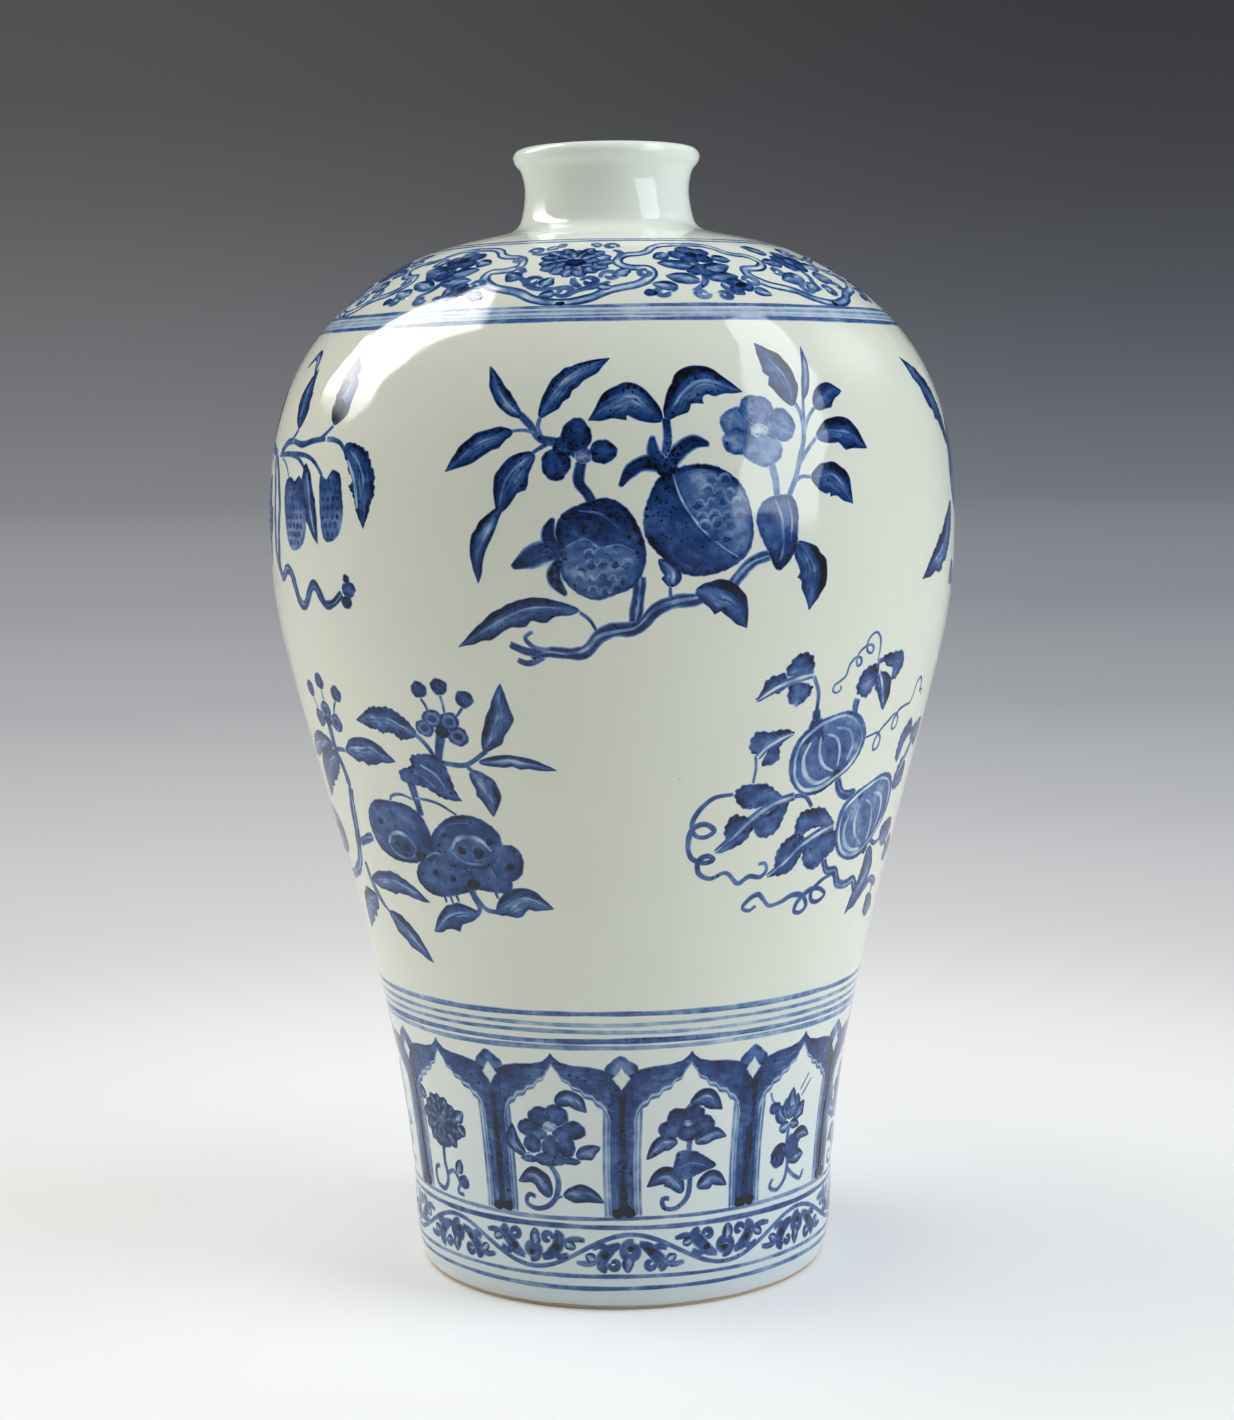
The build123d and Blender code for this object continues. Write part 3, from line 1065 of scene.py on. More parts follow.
# Front spray with two pomegranates, a flower and a bud
pomegranateSpray = {
    "angle": 10.5, "radius": 103.72, "leafWash": 0.68,
    "branches": [
        (3.6, 0.74, 25, 226.5, 19.5, 224.7, 15.4, 221.5, 13, 218.4, 7.6, 216.5, 3, 215.6, -2.4, 214.7,
            -7.8, 212.9, -13.3, 208, -18.7, 207, -23.3, 205.6, -27, 202, -31.5, 201, -37.8, 201.4,
            -42.4, 199.8),
        (3.6, 0.76, -11.8, 222, -12.2, 216, -13.3, 209),
    ],
    "stems": [
        (2.3, 0.7, -28, 254.5, -33, 257.3, -38.3, 259, -41, 262.5, -44.5, 266),
        (1.1, 0.6, -35, 258, -38.5, 256.4, -41, 254.5), (0.9, 0.5, -39.5, 260.3, -43, 261.4, -47, 261),
        (1.3, 0.62, -38.3, 259.3, -39, 262, -38.7, 265),
        (3, 0.76, -27.2, 253, -27.5, 247.5, -25, 243.8, -23.6, 240.5),
        (2.4, 0.74, -4.6, 252, -3.8, 258, -3.6, 264.5),
        (1.5, 0.44, 30.4, 241.5, 34, 249.3, 36.7, 257.5, 37.3, 263.8, 35.4, 268),
        (1.2, 0.44, 34, 250, 37.5, 254.5, 41.5, 258.2), (1.1, 0.44, 31.5, 245, 35, 247.3, 38.6, 247.2),
        (1.1, 0.44, 37.3, 261, 38, 265, 38.8, 269.5), (1.1, 0.44, 36.8, 258.5, 39.5, 263.6, 42.4, 266.6),
        (2, 0.42, 25.6, 252, 26.6, 246.5, 27.4, 241), (0.9, 0.55, -28.5, 212.5, -25.4, 210, -23.4, 206.5),
        (1.3, 0.6, -36, 201.6, -41, 202.6, -43.6, 205.4, -41.2, 207.2),
        (2, 0.66, -38.5, 200.6, -44, 202, -48.4, 203.6),
        (1.7, 0.6, -38.5, 200.2, -43, 198.2, -46.5, 199.4), (1, 0.5, -3.4, 215.4, -3.8, 218, -3.6, 220),
    ],
    "leaves": [
        (-43.5, 264.5, -49.8, 270.5, -55, 280, 4.8), (-38.9, 264.4, -31.5, 274.6, -18.8, 281.6, 7),
        (-46, 261.2, -55.8, 257.6, -66, 250.2, 6.6), (-40, 255.4, -47, 247.4, -50.2, 238.2, 8.6),
        (-49, 241, -55.4, 231.5, -56.3, 220, 5.4), (-4.6, 263.2, -14.4, 269.2, -25.4, 263.6, 9.4),
        (-4, 263.6, 5.5, 273.6, 19.6, 271, 9.6), (34.8, 266.6, 32.6, 276.5, 26.6, 286, 8.8),
        (38.6, 268.4, 42, 276.6, 43.4, 285, 2.8), (42, 266.2, 48, 270.4, 54, 271.2, 6.6),
        (41, 258.2, 50.5, 259.6, 60.4, 254.6, 8.2), (38, 247.2, 46.6, 246.4, 53, 239.4, 8.6),
        (33, 230, 38.6, 221.5, 37.6, 210.6, 9.4), (-28, 212.8, -43, 212.6, -64, 202.4, 7),
        (3, 217.6, 12.6, 214.6, 18.4, 206.6, 9), (-3.4, 218.4, -3.4, 222.5, -7, 226.4, 5.2),
    ],
    "fruits": [
        (0.74, 0, 0.1, -27.8, 241.5, -20.5, 242.6, -14.2, 238.6, -10.6, 232, -10.4, 224.7, -13.3, 219.3,
            -18.3, 217.4, -24.2, 215.6, -29.6, 217.7, -32.8, 222.5, -32.6, 228.4, -34.2, 233.8,
            -32.6, 238.4),
        (0.74, -0.04, 0, 0, 251, 6.7, 251.4, 12.2, 249, 17.6, 243.8, 19.8, 237.5, 19.9, 232, 17.6, 227,
            12.2, 223.2, 4.9, 221.6, -1.5, 222.7, -6, 226.3, -9.6, 231.6, -10.3, 237.5, -9.2, 243,
            -6.6, 248),
        (0.66, 0, -0.14, 20.8, 236.5, 22.4, 240.4, 26.7, 242.6, 31.3, 242.5, 33.3, 238.4, 33.5, 233,
            33, 228.4, 30.4, 224.3, 27.2, 222.6, 24, 227.2, 21.8, 232),
    ],
    "sepals": [
        (4, 0.78, -32.6, 228, -36, 232.5, -34.6, 238), (6.4, 0.76, -32, 229, -38, 228.6, -46.6, 224.4),
        (3.8, 0.84, -32.6, 227, -35, 222, -31.4, 216.8),
        (4.2, 0.84, -3.4, 250.4, -9, 252, -13.6, 250, -17, 245.6),
        (4, 0.74, -4.6, 250.6, -7.4, 254.5, -7.6, 259.6),
        (4.4, 0.86, -3.6, 250.4, -0.5, 254.6, 3.6, 257, 8.2, 256.4),
    ],
    "dabs": [
        (-28.5, 259.6, 4.2, 4.7, 0.76), (-32, 256.4, 3, 3, 0.72), (-34, 252, 4, 4.3, 0.78),
        (-21.2, 255.2, 3.7, 3.2, 0.74), (-26.4, 254.2, 2.4, 2.2, 0.4), (16.6, 262, 5, 4.8, 0.5),
        (22.8, 265.4, 5.4, 4.8, 0.52), (29.4, 261.6, 5.2, 4.6, 0.5), (15.8, 257.4, 4, 3.8, 0.46),
        (23.6, 255.2, 6.2, 4.8, 0.34), (23, 260.2, 3, 2.2, 0.12), (-4.2, 250.6, 3, 2.6, 0.9),
    ],
    "pale": [
        (0.8, 0.22, 0.72, -2.6, 249, -0.8, 243, 2.4, 237.6, 6.4, 232.8, 11.4, 228.8, 15.4, 226.2),
        (0.7, 0.3, 0.7, -31.6, 230, -26.5, 232, -22.4, 229.6, -17.4, 230.4, -12.4, 228),
        (0.8, 0.24, 0.6, 26.4, 241.6, 28.4, 236, 28.8, 229, 27.8, 225),
        (0.6, 0.3, 0.6, 30.2, 241.6, 31.4, 236, 31, 230),
        (0.6, 0.5, 0.78, -28, 239.6, -22.4, 238.6, -17, 234.6),
    ],
    "panes": [
        (0.5, 0.72, 9.5, 240, -1.6, 248, 5, 250, 12, 248, 17, 243, 19, 236, 18.6, 230, 15.6, 226.5,
            10.5, 230, 5.6, 234.5, 1.6, 239.5, -0.6, 244),
        (0.54, 0.7, -22, 224, -31.5, 229.5, -26.5, 231.4, -22.4, 229.2, -17.4, 229.8, -12, 227.4,
            -11.6, 223.5, -14, 219.8, -18.6, 217.8, -24, 216.4, -29, 218.2, -32, 222.6, -32, 226.6),
    ],
    "seeds": [((-22.2, 223.6), (9.2, 6.4), 4, 3.1, 0.54), ((9.4, 239.8), (7.6, 9.2), 6, 3.4, 0.52)],
}


def paintFrom(spray, name, hand=1):
    canvas = newCanvas(spray["angle"], spray["radius"], hand)
    paintSpray(canvas, spray)
    hangCanvas(canvas, name)


paintFrom(pomegranateSpray, "pomegranate_spray")


# Cloud collar on the shoulder: a double-edged ribbon with flowers inside its lobes and under its arches
collar = {
    "radius": 71.17, "lobes": 6, "firstTip": -9.2, "width": 2.7, "wash": 0.56,
    # half a lobe, from its tip: across and up
    "half": [
        (0, 301), (7, 302.8), (11, 305.6), (14, 306.8), (19, 308.5), (22, 311), (23.3, 313.5),
        (22.6, 316), (19.5, 316.4), (16.6, 317), (14.3, 319.2), (14.7, 322), (17.3, 324.1), (20.8, 324.6),
        (23.8, 326), (25.8, 328.5), (28.8, 330.5), (33, 331.3), (37.26, 331.5),
    ],
}


def collarCurls(canvas, places):
    for x, s, radius, start, hand in places:
        stroke(canvas, curl((x, s), radius, start, 1.1, hand), 1.9, 0.52, press=presses["curl"])


def collarLeaves(canvas, places):
    for place in places:
        leaf(canvas, place, 0.52)


def collarPetals(canvas, places, wash=0.6, flat=0.85):
    for x, s, size in places:
        dab(canvas, (x, s), size, size * flat, wash, coat=1)


def lotusLobe(canvas):
    bloom(canvas, (2, 320.6), (11.4, 8.8), 15, 5.2, 0.58, inner=0.4)
    bloom(canvas, (2, 320.8), (7.6, 6.2), 10, 4.6, 0.66, start=70, inner=0.2, coat=2)
    dab(canvas, (2, 319.6), 3.0, 2.0, 0.9, coat=3, edge=0.7)
    collarCurls(canvas, (
        (-8.5, 310.2, 3, 20, 1), (0.4, 306, 2.7, 200, 1), (6.6, 309.8, 2.6, 170, -1),
        (12, 312.6, 2.8, 210, -1), (-12.4, 328, 2.6, 200, -1), (12.6, 330.4, 2.7, 330, 1),
        (-16, 322.4, 2, 0, 1), (-4.6, 332, 1.8, 180, 1),
    ))
    for points in ([(-16, 315), (-12, 312), (-8, 307.8), (-3, 307.2), (0.5, 308)],
                   [(1, 303.6), (4.5, 306.2), (8, 307.4), (12, 310)], [(2, 312.4), (2.6, 309), (4.6, 307)],
                   [(-17, 319), (-14, 317.6), (-11.6, 314.8)], [(-13.6, 326), (-9, 325.4), (-6, 327)],
                   [(12.8, 327.6), (15.6, 325.6), (14.4, 322)]):
        stroke(canvas, points, 1.9, 0.5, press=presses["twig"])
    collarLeaves(canvas, (
        (-12, 312, -17.4, 315, 4.6), (13.6, 312.4, 17.4, 316.4, 4.4), (-6, 308, -3, 312.4, 4.4),
        (9.6, 330.2, 5.4, 333.2, 3.8), (-9.4, 328.6, -5, 331, 3.8), (-1.6, 305.4, -6, 303.6, 3.4),
        (8.4, 308, 12.6, 306.6, 3.4),
    ))


def peonyLobe(canvas):
    collarPetals(canvas, (
        (-3.8, 321.6, 3.6), (0.2, 324.6, 3.8), (4.2, 322, 3.6), (2, 318.4, 3.3), (-2.2, 318.4, 3.2),
    ))
    dab(canvas, (0.2, 321.2), 2.0, 1.5, 0.3, coat=2, edge=0.62)
    collarLeaves(canvas, (
        (-5, 326, -13.4, 331, 6.2), (4.6, 326, 12.6, 330.4, 6.2), (-3, 313, -13, 310.6, 6.2),
        (3, 313, 12.4, 312.4, 6.2), (-5.4, 319.4, -13.2, 320.8, 5.6), (6, 319, 13.4, 318.8, 5.4),
        (-1, 310, -6, 305.4, 4.4), (8, 325, 14.6, 324.6, 4.4),
    ))
    stroke(canvas, [(0, 317), (0.6, 313.4), (-0.8, 310), (0, 306.4)], 1.8, 0.58)
    collarCurls(canvas, (
        (3.6, 306.6, 2.7, 160, -1), (-5.6, 307.2, 2.7, 20, 1), (11, 308.8, 2.3, 170, -1),
        (-11.6, 315.4, 2.2, 200, 1),
    ))


def archSpray(canvas):
    collarPetals(canvas, (
        (-4, 324, 3.2), (-0.4, 326.8, 3.5), (3.8, 325.6, 3.3), (3.6, 321.6, 3), (-1.4, 321, 3),
    ), flat=0.86)
    dab(canvas, (0.3, 323.8), 1.9, 1.4, 0.95, coat=2, edge=0.68)
    stroke(canvas, [(0.6, 320), (-0.6, 316.4), (0.8, 312.6), (-1, 308.4), (-5, 305.2)], 2.0, 0.58)
    stroke(canvas, [(0.4, 312.6), (5, 309.6), (9, 306.6)], 1.8, 0.56)
    collarPetals(canvas, (
        (-1.6, 314.6, 2.6), (1.8, 313.4, 2.4), (0.4, 316.6, 2.3), (8, 309, 2.8), (10.6, 307.2, 2.5),
        (7.4, 306, 2.3),
    ), 0.58, 0.8)
    collarLeaves(canvas, (
        (-1, 316.6, -12, 319.2, 6.6), (0.4, 315, 10.4, 317.8, 6.2), (0.6, 311.2, 10.6, 312.2, 5.8),
        (-1.4, 309.6, -10.8, 312.4, 6), (4, 309.4, 9, 303.4, 5.2), (-7, 325, -12.4, 321.2, 4.8),
        (6.4, 322.6, 12.6, 320.6, 4.8), (-8, 306.6, -15, 308.6, 5), (12, 306, 17, 303.6, 4.6),
    ))
    collarCurls(canvas, (
        (-12, 304.6, 2.7, 0, 1), (13.4, 309.8, 2.6, 180, -1), (-2.6, 304.2, 2.2, 10, -1),
        (-15.6, 313.6, 2.2, 60, 1), (3.2, 303.4, 1.8, 160, -1),
    ))
    dab(canvas, (-15.4, 304.6), 1.9, 1.5, 0.68)
    dab(canvas, (9.4, 308), 1.4, 1.1, 1.0, coat=2, edge=0.66)


def paintCollar():
    ribbonCanvas = newCanvas(0, collar["radius"])
    flowerCanvas = newCanvas(0, collar["radius"])
    step = 360 / collar["lobes"]
    half = collar["half"]
    whole = [(-x, s) for x, s in half[:0:-1]] + half
    for lobe in range(collar["lobes"]):
        tip = collar["firstTip"] + lobe * step
        turnTo(ribbonCanvas, tip)
        stroke(ribbonCanvas, whole, collar["width"], section=doubleLine(collar["wash"]),
               press=presses["ribbon"], loose=False)
        dab(ribbonCanvas, (0, 300.6), 1.2, 1.0, 0.86, coat=1)
        turnTo(flowerCanvas, tip)
        flower = peonyLobe if lobe % 2 else lotusLobe
        flower(flowerCanvas)
        turnTo(flowerCanvas, collar["firstTip"] + (lobe + 0.5) * step)
        archSpray(flowerCanvas)
    hangCanvas(ribbonCanvas, "collar_ribbon")
    hangCanvas(flowerCanvas, "collar_flowers")


paintCollar()


# Arched panels round the foot
panels = {
    "radius": 67.98, "count": 11, "foot": 28.9, "pillarTop": 70.5,
    # across a pillar, from its middle in mm: wash
    "pillar": [
        (0, 0.8), (0.9, 0.72), (1.8, 0.62), (3.2, 0.66), (3.7, 0.3), (4.05, 0.54), (4.4, 0.28),
        (4.75, 0.2), (5.1, 0.5), (5.5, 0.34), (5.9, 0),
    ],
    # lower edge of the arch from the pillar's middle to the middle of the panel, and its upper edge
    "archLow": [
        (3.2, 54), (3.8, 58), (4.6, 60.8), (5.8, 62.6), (7.2, 63.2), (8.2, 65.2), (10.6, 65.8),
        (11.6, 67.6), (13.8, 68.2), (14.8, 70.2), (16.7, 71), (17.7, 73.4), (19.42, 75.8),
    ],
    "archHigh": [
        (0, 73.4), (3, 74.8), (6, 75.6), (9, 76.2), (13.5, 76.5), (16.8, 77.3), (18.6, 78.8),
        (19.42, 80.2),
    ],
    "arch": [
        (0, 0), (0.05, 0.5), (0.09, 0.52), (0.13, 0.22), (0.17, 0.22), (0.21, 0.6), (0.34, 0.68),
        (0.6, 0.66), (0.84, 0.76), (0.95, 0.8), (1, 0),
    ],
    "crown": [(0, 0.66), (0.3, 0.7), (0.84, 0.78), (0.95, 0.8), (1, 0)],
    "finial": [
        (-4.7, 73.2), (-4.3, 76), (-2.4, 77.8), (0, 79.4), (2.4, 77.8), (4.3, 76), (4.7, 73.2),
        (2.4, 70.6), (0, 69.4), (-2.4, 70.6),
    ],
    "diamond": [
        (0, 75.6), (0.5, 74.7), (1.7, 73), (2.2, 72.3), (1.7, 71.6), (0.5, 69.9), (0, 69), (-0.5, 69.9),
        (-1.7, 71.6), (-2.2, 72.3), (-1.7, 73), (-0.5, 74.7),
    ],
}


def paintPanels():
    canvas = newCanvas(0, panels["radius"])
    pitch = 2 * math.pi * panels["radius"] / panels["count"]
    side = np.array(panels["pillar"])
    across = np.r_[-side[:0:-1, 0], side[:, 0]]
    washes = np.r_[side[:0:-1, 1], side[:, 1]]
    rows = np.linspace(panels["foot"], panels["pillarTop"], 30)
    lowX, low = np.array(panels["archLow"]).T
    highX, high = np.array(panels["archHigh"]).T
    reach = lowX[-1]
    for k in range(panels["count"]):
        turnTo(canvas, k * 360 / panels["count"])
        lean = 0.2 * rng.normal()
        path = np.stack([lean * np.sin(rows / 9), rows], 1)
        tint = np.repeat(washes[None], len(rows), 0)
        tint *= (1 + 0.06 * np.sin(rows / 3 + k))[:, None] * (1 + waver(len(across), 8, 0.16))[None]
        tint[0] = 0
        ribbon(canvas, path, np.repeat(across[None], len(rows), 0), tint)
        fill(canvas, panels["finial"], 0.46, rim=0.26, coat=1)
    for k in range(panels["count"]):
        turnTo(canvas, (k + 0.5) * 360 / panels["count"])
        for hand in (-1, 1):
            parts = (np.linspace(0, 3.3, 8), "crown"), (np.linspace(lowX[0], reach, 44), "arch")
            for x, section in parts:
                fromMiddle = hand * (reach - x) * pitch / 2 / reach
                edges = np.interp(x, lowX, low), np.interp(x, highX, high)
                band(canvas, fromMiddle, *edges, panels[section], coat=1)
    for k in range(panels["count"]):
        turnTo(canvas, k * 360 / panels["count"])
        fill(canvas, panels["diamond"], 0.02, rim=0.0, coat=3, edge=0.3, wobble=0.0)
        lean = rng.uniform(-1.2, 1.2)
        stroke(canvas, [(lean, 68), (lean, 60), (lean * 0.6, 45), (lean * 0.3, 30)], 1.6, coat=3, shake=2,
               section=overLine(0.94, 0.72), press=presses["pillar"])
        dab(canvas, (-1.6, 30.6), 1.5, 1.2, 1.08, coat=4, edge=0.8)
        dab(canvas, (1.9, 30.8), 1.4, 1.3, 1.06, coat=4, edge=0.8)
    hangCanvas(canvas, "arched_panels")


paintPanels()


# Flowers in the panels, each drawn where its panel stands
camellia = {
    "angle": -26, "leafWash": 0.66,
    "stems": [
        (1.6, 0.6, 8.5, 46, 11.2, 40.7, 10.4, 35.7, 7.6, 32, 4.2, 31, 0.8, 32.6, 1.6, 35.2, 4.2, 34.6),
        (0.9, 0.5, 9.6, 34.6, 12.6, 35.6), (0.8, 0.45, 10, 48, 7, 50.6, 1.2, 47.4),
    ],
    "leaves": [
        (11.4, 64.3, 16, 66, 21, 61.6, 5.2), (1.4, 47.2, -2.4, 51, -2.4, 57.2, 4.8),
        (17, 47.6, 24.6, 51.2, 4.6), (8.8, 34.8, 4, 41, -2, 38.8, 6),
        (12.4, 35.6, 19, 36.6, 25.4, 33.8, 5.2),
    ],
    "dabs": [
        (2.8, 56, 2.7, 2.3, 0.64), (6.8, 59.6, 3, 2.8, 0.72), (11.6, 60.4, 3.2, 2.8, 0.64),
        (16.6, 56, 3, 2.4, 0.72), (5.6, 54.4, 2.6, 1.8, 0.6), (13.6, 54.8, 2.8, 2, 0.6),
        (9.6, 57, 2, 1.4, 0.24), (3.9, 51.2, 2.4, 2.5, 0.66), (9.6, 50.5, 2.4, 3, 0.64),
        (14.2, 50.6, 2.4, 2.6, 0.66), (9, 46.6, 4.4, 1.7, 0.6), (2.6, 46.4, 2.4, 0.9, 0.62),
        (15.6, 46.4, 2.4, 0.9, 0.62),
    ],
}
fivePetals = {
    "angle": 28.5, "leafWash": 0.66,
    "stems": [
        (1.6, 0.6, -13.8, 54, -14.2, 49, -13.8, 39.3, -14.6, 34.3, -18, 31.4, -21.6, 32, -22, 34.6,
            -19.6, 34.6),
        (0.8, 0.45, -14, 58, -15.6, 61, -14, 63.6),
    ],
    "leaves": [
        (-14.4, 63.2, -9.6, 64.8, -4, 60.4, 5.6), (-17.4, 52, -22, 51.4, -27, 46.8, 5),
        (-12.6, 51, -7, 53.2, -2, 51.8, 4.6), (-15.6, 36, -21, 41.6, -27, 38.4, 6),
        (-11.6, 37, -6.4, 39.4, -1.4, 36.6, 5.2),
    ],
    "dabs": [
        (-20, 55.8, 2.8, 2.6, 0.64), (-17.6, 59.2, 2.8, 2.6, 0.66), (-13.3, 59.6, 3, 2.8, 0.66),
        (-9.8, 56.4, 2.8, 2.6, 0.64), (-14.4, 54.6, 3, 2.4, 0.72), (-14.8, 57.4, 1.4, 1.1, 0.3),
    ],
    "fruits": [
        (0.64, 0, 0.1, -18.6, 45.6, -17.4, 48.8, -13.8, 48.8, -10.2, 47.4, -5.6, 43.4, -10.2, 41.6,
            -15.9, 39.8, -19, 42),
    ],
    "pale": [(0.6, 0.34, 0.7, -17, 43.6, -13.4, 45, -9, 43.8)],
}
lotusBud = {
    "angle": 28.5, "leafWash": 0.68,
    "stems": [
        (1.5, 0.6, 22, 52, 21.6, 46, 22.4, 39, 21.4, 34, 18, 31.4, 15, 33, 16.4, 35.6),
        (1.3, 0.56, 22, 38, 26.4, 34, 30, 32.6, 31.6, 35.4), (0.9, 0.45, 17, 57, 14, 60, 12.6, 63),
        (0.7, 0.4, 25.6, 61, 29.4, 66), (0.7, 0.4, 26.6, 59, 31, 64),
    ],
    "leaves": [
        (22, 44, 14.4, 42.6, 5.4), (22.6, 43, 28, 47, 33.4, 45.4, 5.2), (22, 40, 31, 40.2, 5.2),
        (20, 52, 15.2, 58.6, 4.6), (24, 52, 28.6, 57.6, 4.8), (22, 51.6, 17.2, 50, 3.6),
        (22, 51.6, 27, 50, 3.6), (21, 53, 19.4, 60, 4.4), (23, 53, 25, 60.6, 4.4),
        (22, 52.4, 22.2, 63, 5.4),
    ],
    "dabs": [
        (15, 57.6, 2, 1.6, 0.72), (24, 43.6, 3, 3.4, 0.64), (18, 41.6, 2.6, 2.8, 0.72),
        (22.6, 55.4, 2.2, 1.6, 0.5),
    ],
}
spikyBloom = {
    "angle": -26, "leafWash": 0.66,
    "stems": [
        (1.5, 0.6, -32, 46, -32.6, 40, -31.4, 34.6, -34, 31, -38, 32, -38.4, 36.4, -35.6, 38),
        (1.4, 0.58, -31.6, 36, -28, 37.6, -25.4, 34.6, -26.6, 31.4, -23.6, 31),
    ],
    "leaves": [
        (-26, 37, -24.2, 42, 4), (-39, 58, -42, 62.6, 3.6), (-24.6, 54, -20.4, 57.6, 4.2),
        (-24, 52.6, -20.6, 49.6, 4.2),
    ],
    "blooms": [((-32, 53), (9.4, 9.4), 13, 5.2, 0.76, 0.35), ((-32, 53), (6.2, 6.4), 9, 4.6, 0.8, 0.15)],
    "dabs": [(-32, 46.4, 3.6, 1.8, 0.72), (-32, 53, 2, 1.8, 0.5), (-23.6, 35, 2, 1.8, 0.66)],
}
panelFlowers = {
    "swell": 1.2,  # petals are painted this much larger than drawn
    # drawing and how many panels to the right it is painted again
    "order": [
        (camellia, 0), (fivePetals, 0), (lotusBud, 0), (spikyBloom, 0), (camellia, 3), (spikyBloom, 5),
        (fivePetals, 4), (lotusBud, 4), (camellia, 7), (fivePetals, 7), (lotusBud, 7),
    ],
}


def paintPanelFlowers():
    canvas = newCanvas(0, panels["radius"])
    for drawing, places in panelFlowers["order"]:
        turnTo(canvas, drawing["angle"] + places * 360 / panels["count"])
        for centre, reach, petals, width, wash, inside in drawing.get("blooms", ()):
            bloom(canvas, centre, reach, petals, width, wash, inner=inside, coat=0)
        paintSpray(canvas, drawing, panelFlowers["swell"])
    hangCanvas(canvas, "panel_flowers")


paintPanelFlowers()


# Running scroll between the lines at the foot
scroll = {
    "radius": 67.98, "waves": 7, "firstCrest": 1.5, "middle": 18.8, "swing": 5.3, "width": 1.3,
    "heavy": 1.1,  # strokes are this much wider than drawn
    # one cluster over a hollow of the wave
    "strokes": [
        (3.4, 0.66, [(-2.4, 16.2), (-6, 18), (-8.4, 20.4), (-10.4, 23.2), (-8.4, 24.6)]),
        (3.4, 0.66, [(2.6, 16.4), (6, 17.8), (8.4, 20.2), (8.8, 23.2), (6.8, 24.4)]),
        (1.5, 0.56, [(-9.6, 21.6), (-13, 23), (-17, 22.4)]),
        (1.5, 0.56, [(8.6, 20.6), (12.4, 22.6), (17, 22.2)]),
        (1.8, 0.6, [(-6.6, 18), (-9.4, 17.2), (-11.6, 18.4)]),
        (1.8, 0.6, [(6.4, 17.6), (9.6, 16.8), (11.8, 18.2)]),
    ],
    "curls": [
        ((-0.4, 18.4), 3.3, 250, 1.3, 1, 2.1), ((-6, 22.6), 1.9, 200, 1, -1, 1.6),
        ((4.8, 22.4), 1.8, 340, 1, 1, 1.6),
    ],
    "tips": [(0.6, 19.6, 0.8, 25.4, 3.8), (-11, 22, -14.4, 20, 3), (10.4, 21.4, 14, 19.6, 3)],
    "dots": [(-6.4, 18.8, 1), (7.6, 19.8, 1), (-0.4, 17.8, 0.9)],
}


def scrollUnit(canvas, flip):
    # flip -1 turns the cluster upside down, under a crest
    def at(points):
        return [(flip * x, scroll["middle"] + flip * (s - scroll["middle"])) for x, s in points]

    heavy = scroll["heavy"]
    for width, wash, points in scroll["strokes"]:
        stroke(canvas, at(points), width * heavy, wash, press=presses["scrollLeaf"])
    for centre, radius, start, turns, hand, width in scroll["curls"]:
        points = at(curl(centre, radius, start, turns, hand))
        stroke(canvas, points, width * heavy, 0.64, press=presses["scrollCurl"])
    for x0, s0, x1, s1, width in scroll["tips"]:
        base, tip = at([(x0, s0), (x1, s1)])
        leaf(canvas, (*base, *tip, width), 0.6)
    for x, s, size in scroll["dots"]:
        dab(canvas, at([(x, s)])[0], size, size * 0.9, 1.02, coat=1, edge=0.64)


def paintScroll():
    canvas = newCanvas(0, scroll["radius"])
    wave = 2 * math.pi * scroll["radius"] / scroll["waves"]
    for k in range(scroll["waves"]):
        turnTo(canvas, scroll["firstCrest"] + k * 360 / scroll["waves"])
        x = np.linspace(-wave / 2, wave / 2, 41)
        s = scroll["middle"] + scroll["swing"] * np.cos(x * 2 * math.pi / wave)
        stroke(canvas, np.stack([x, s], 1), scroll["width"], 0.5, press=presses["wave"], loose=False)
        scrollUnit(canvas, -1)
        turnTo(canvas, scroll["firstCrest"] + (k + 0.5) * 360 / scroll["waves"])
        scrollUnit(canvas, 1)
    hangCanvas(canvas, "foot_scroll")


paintScroll()


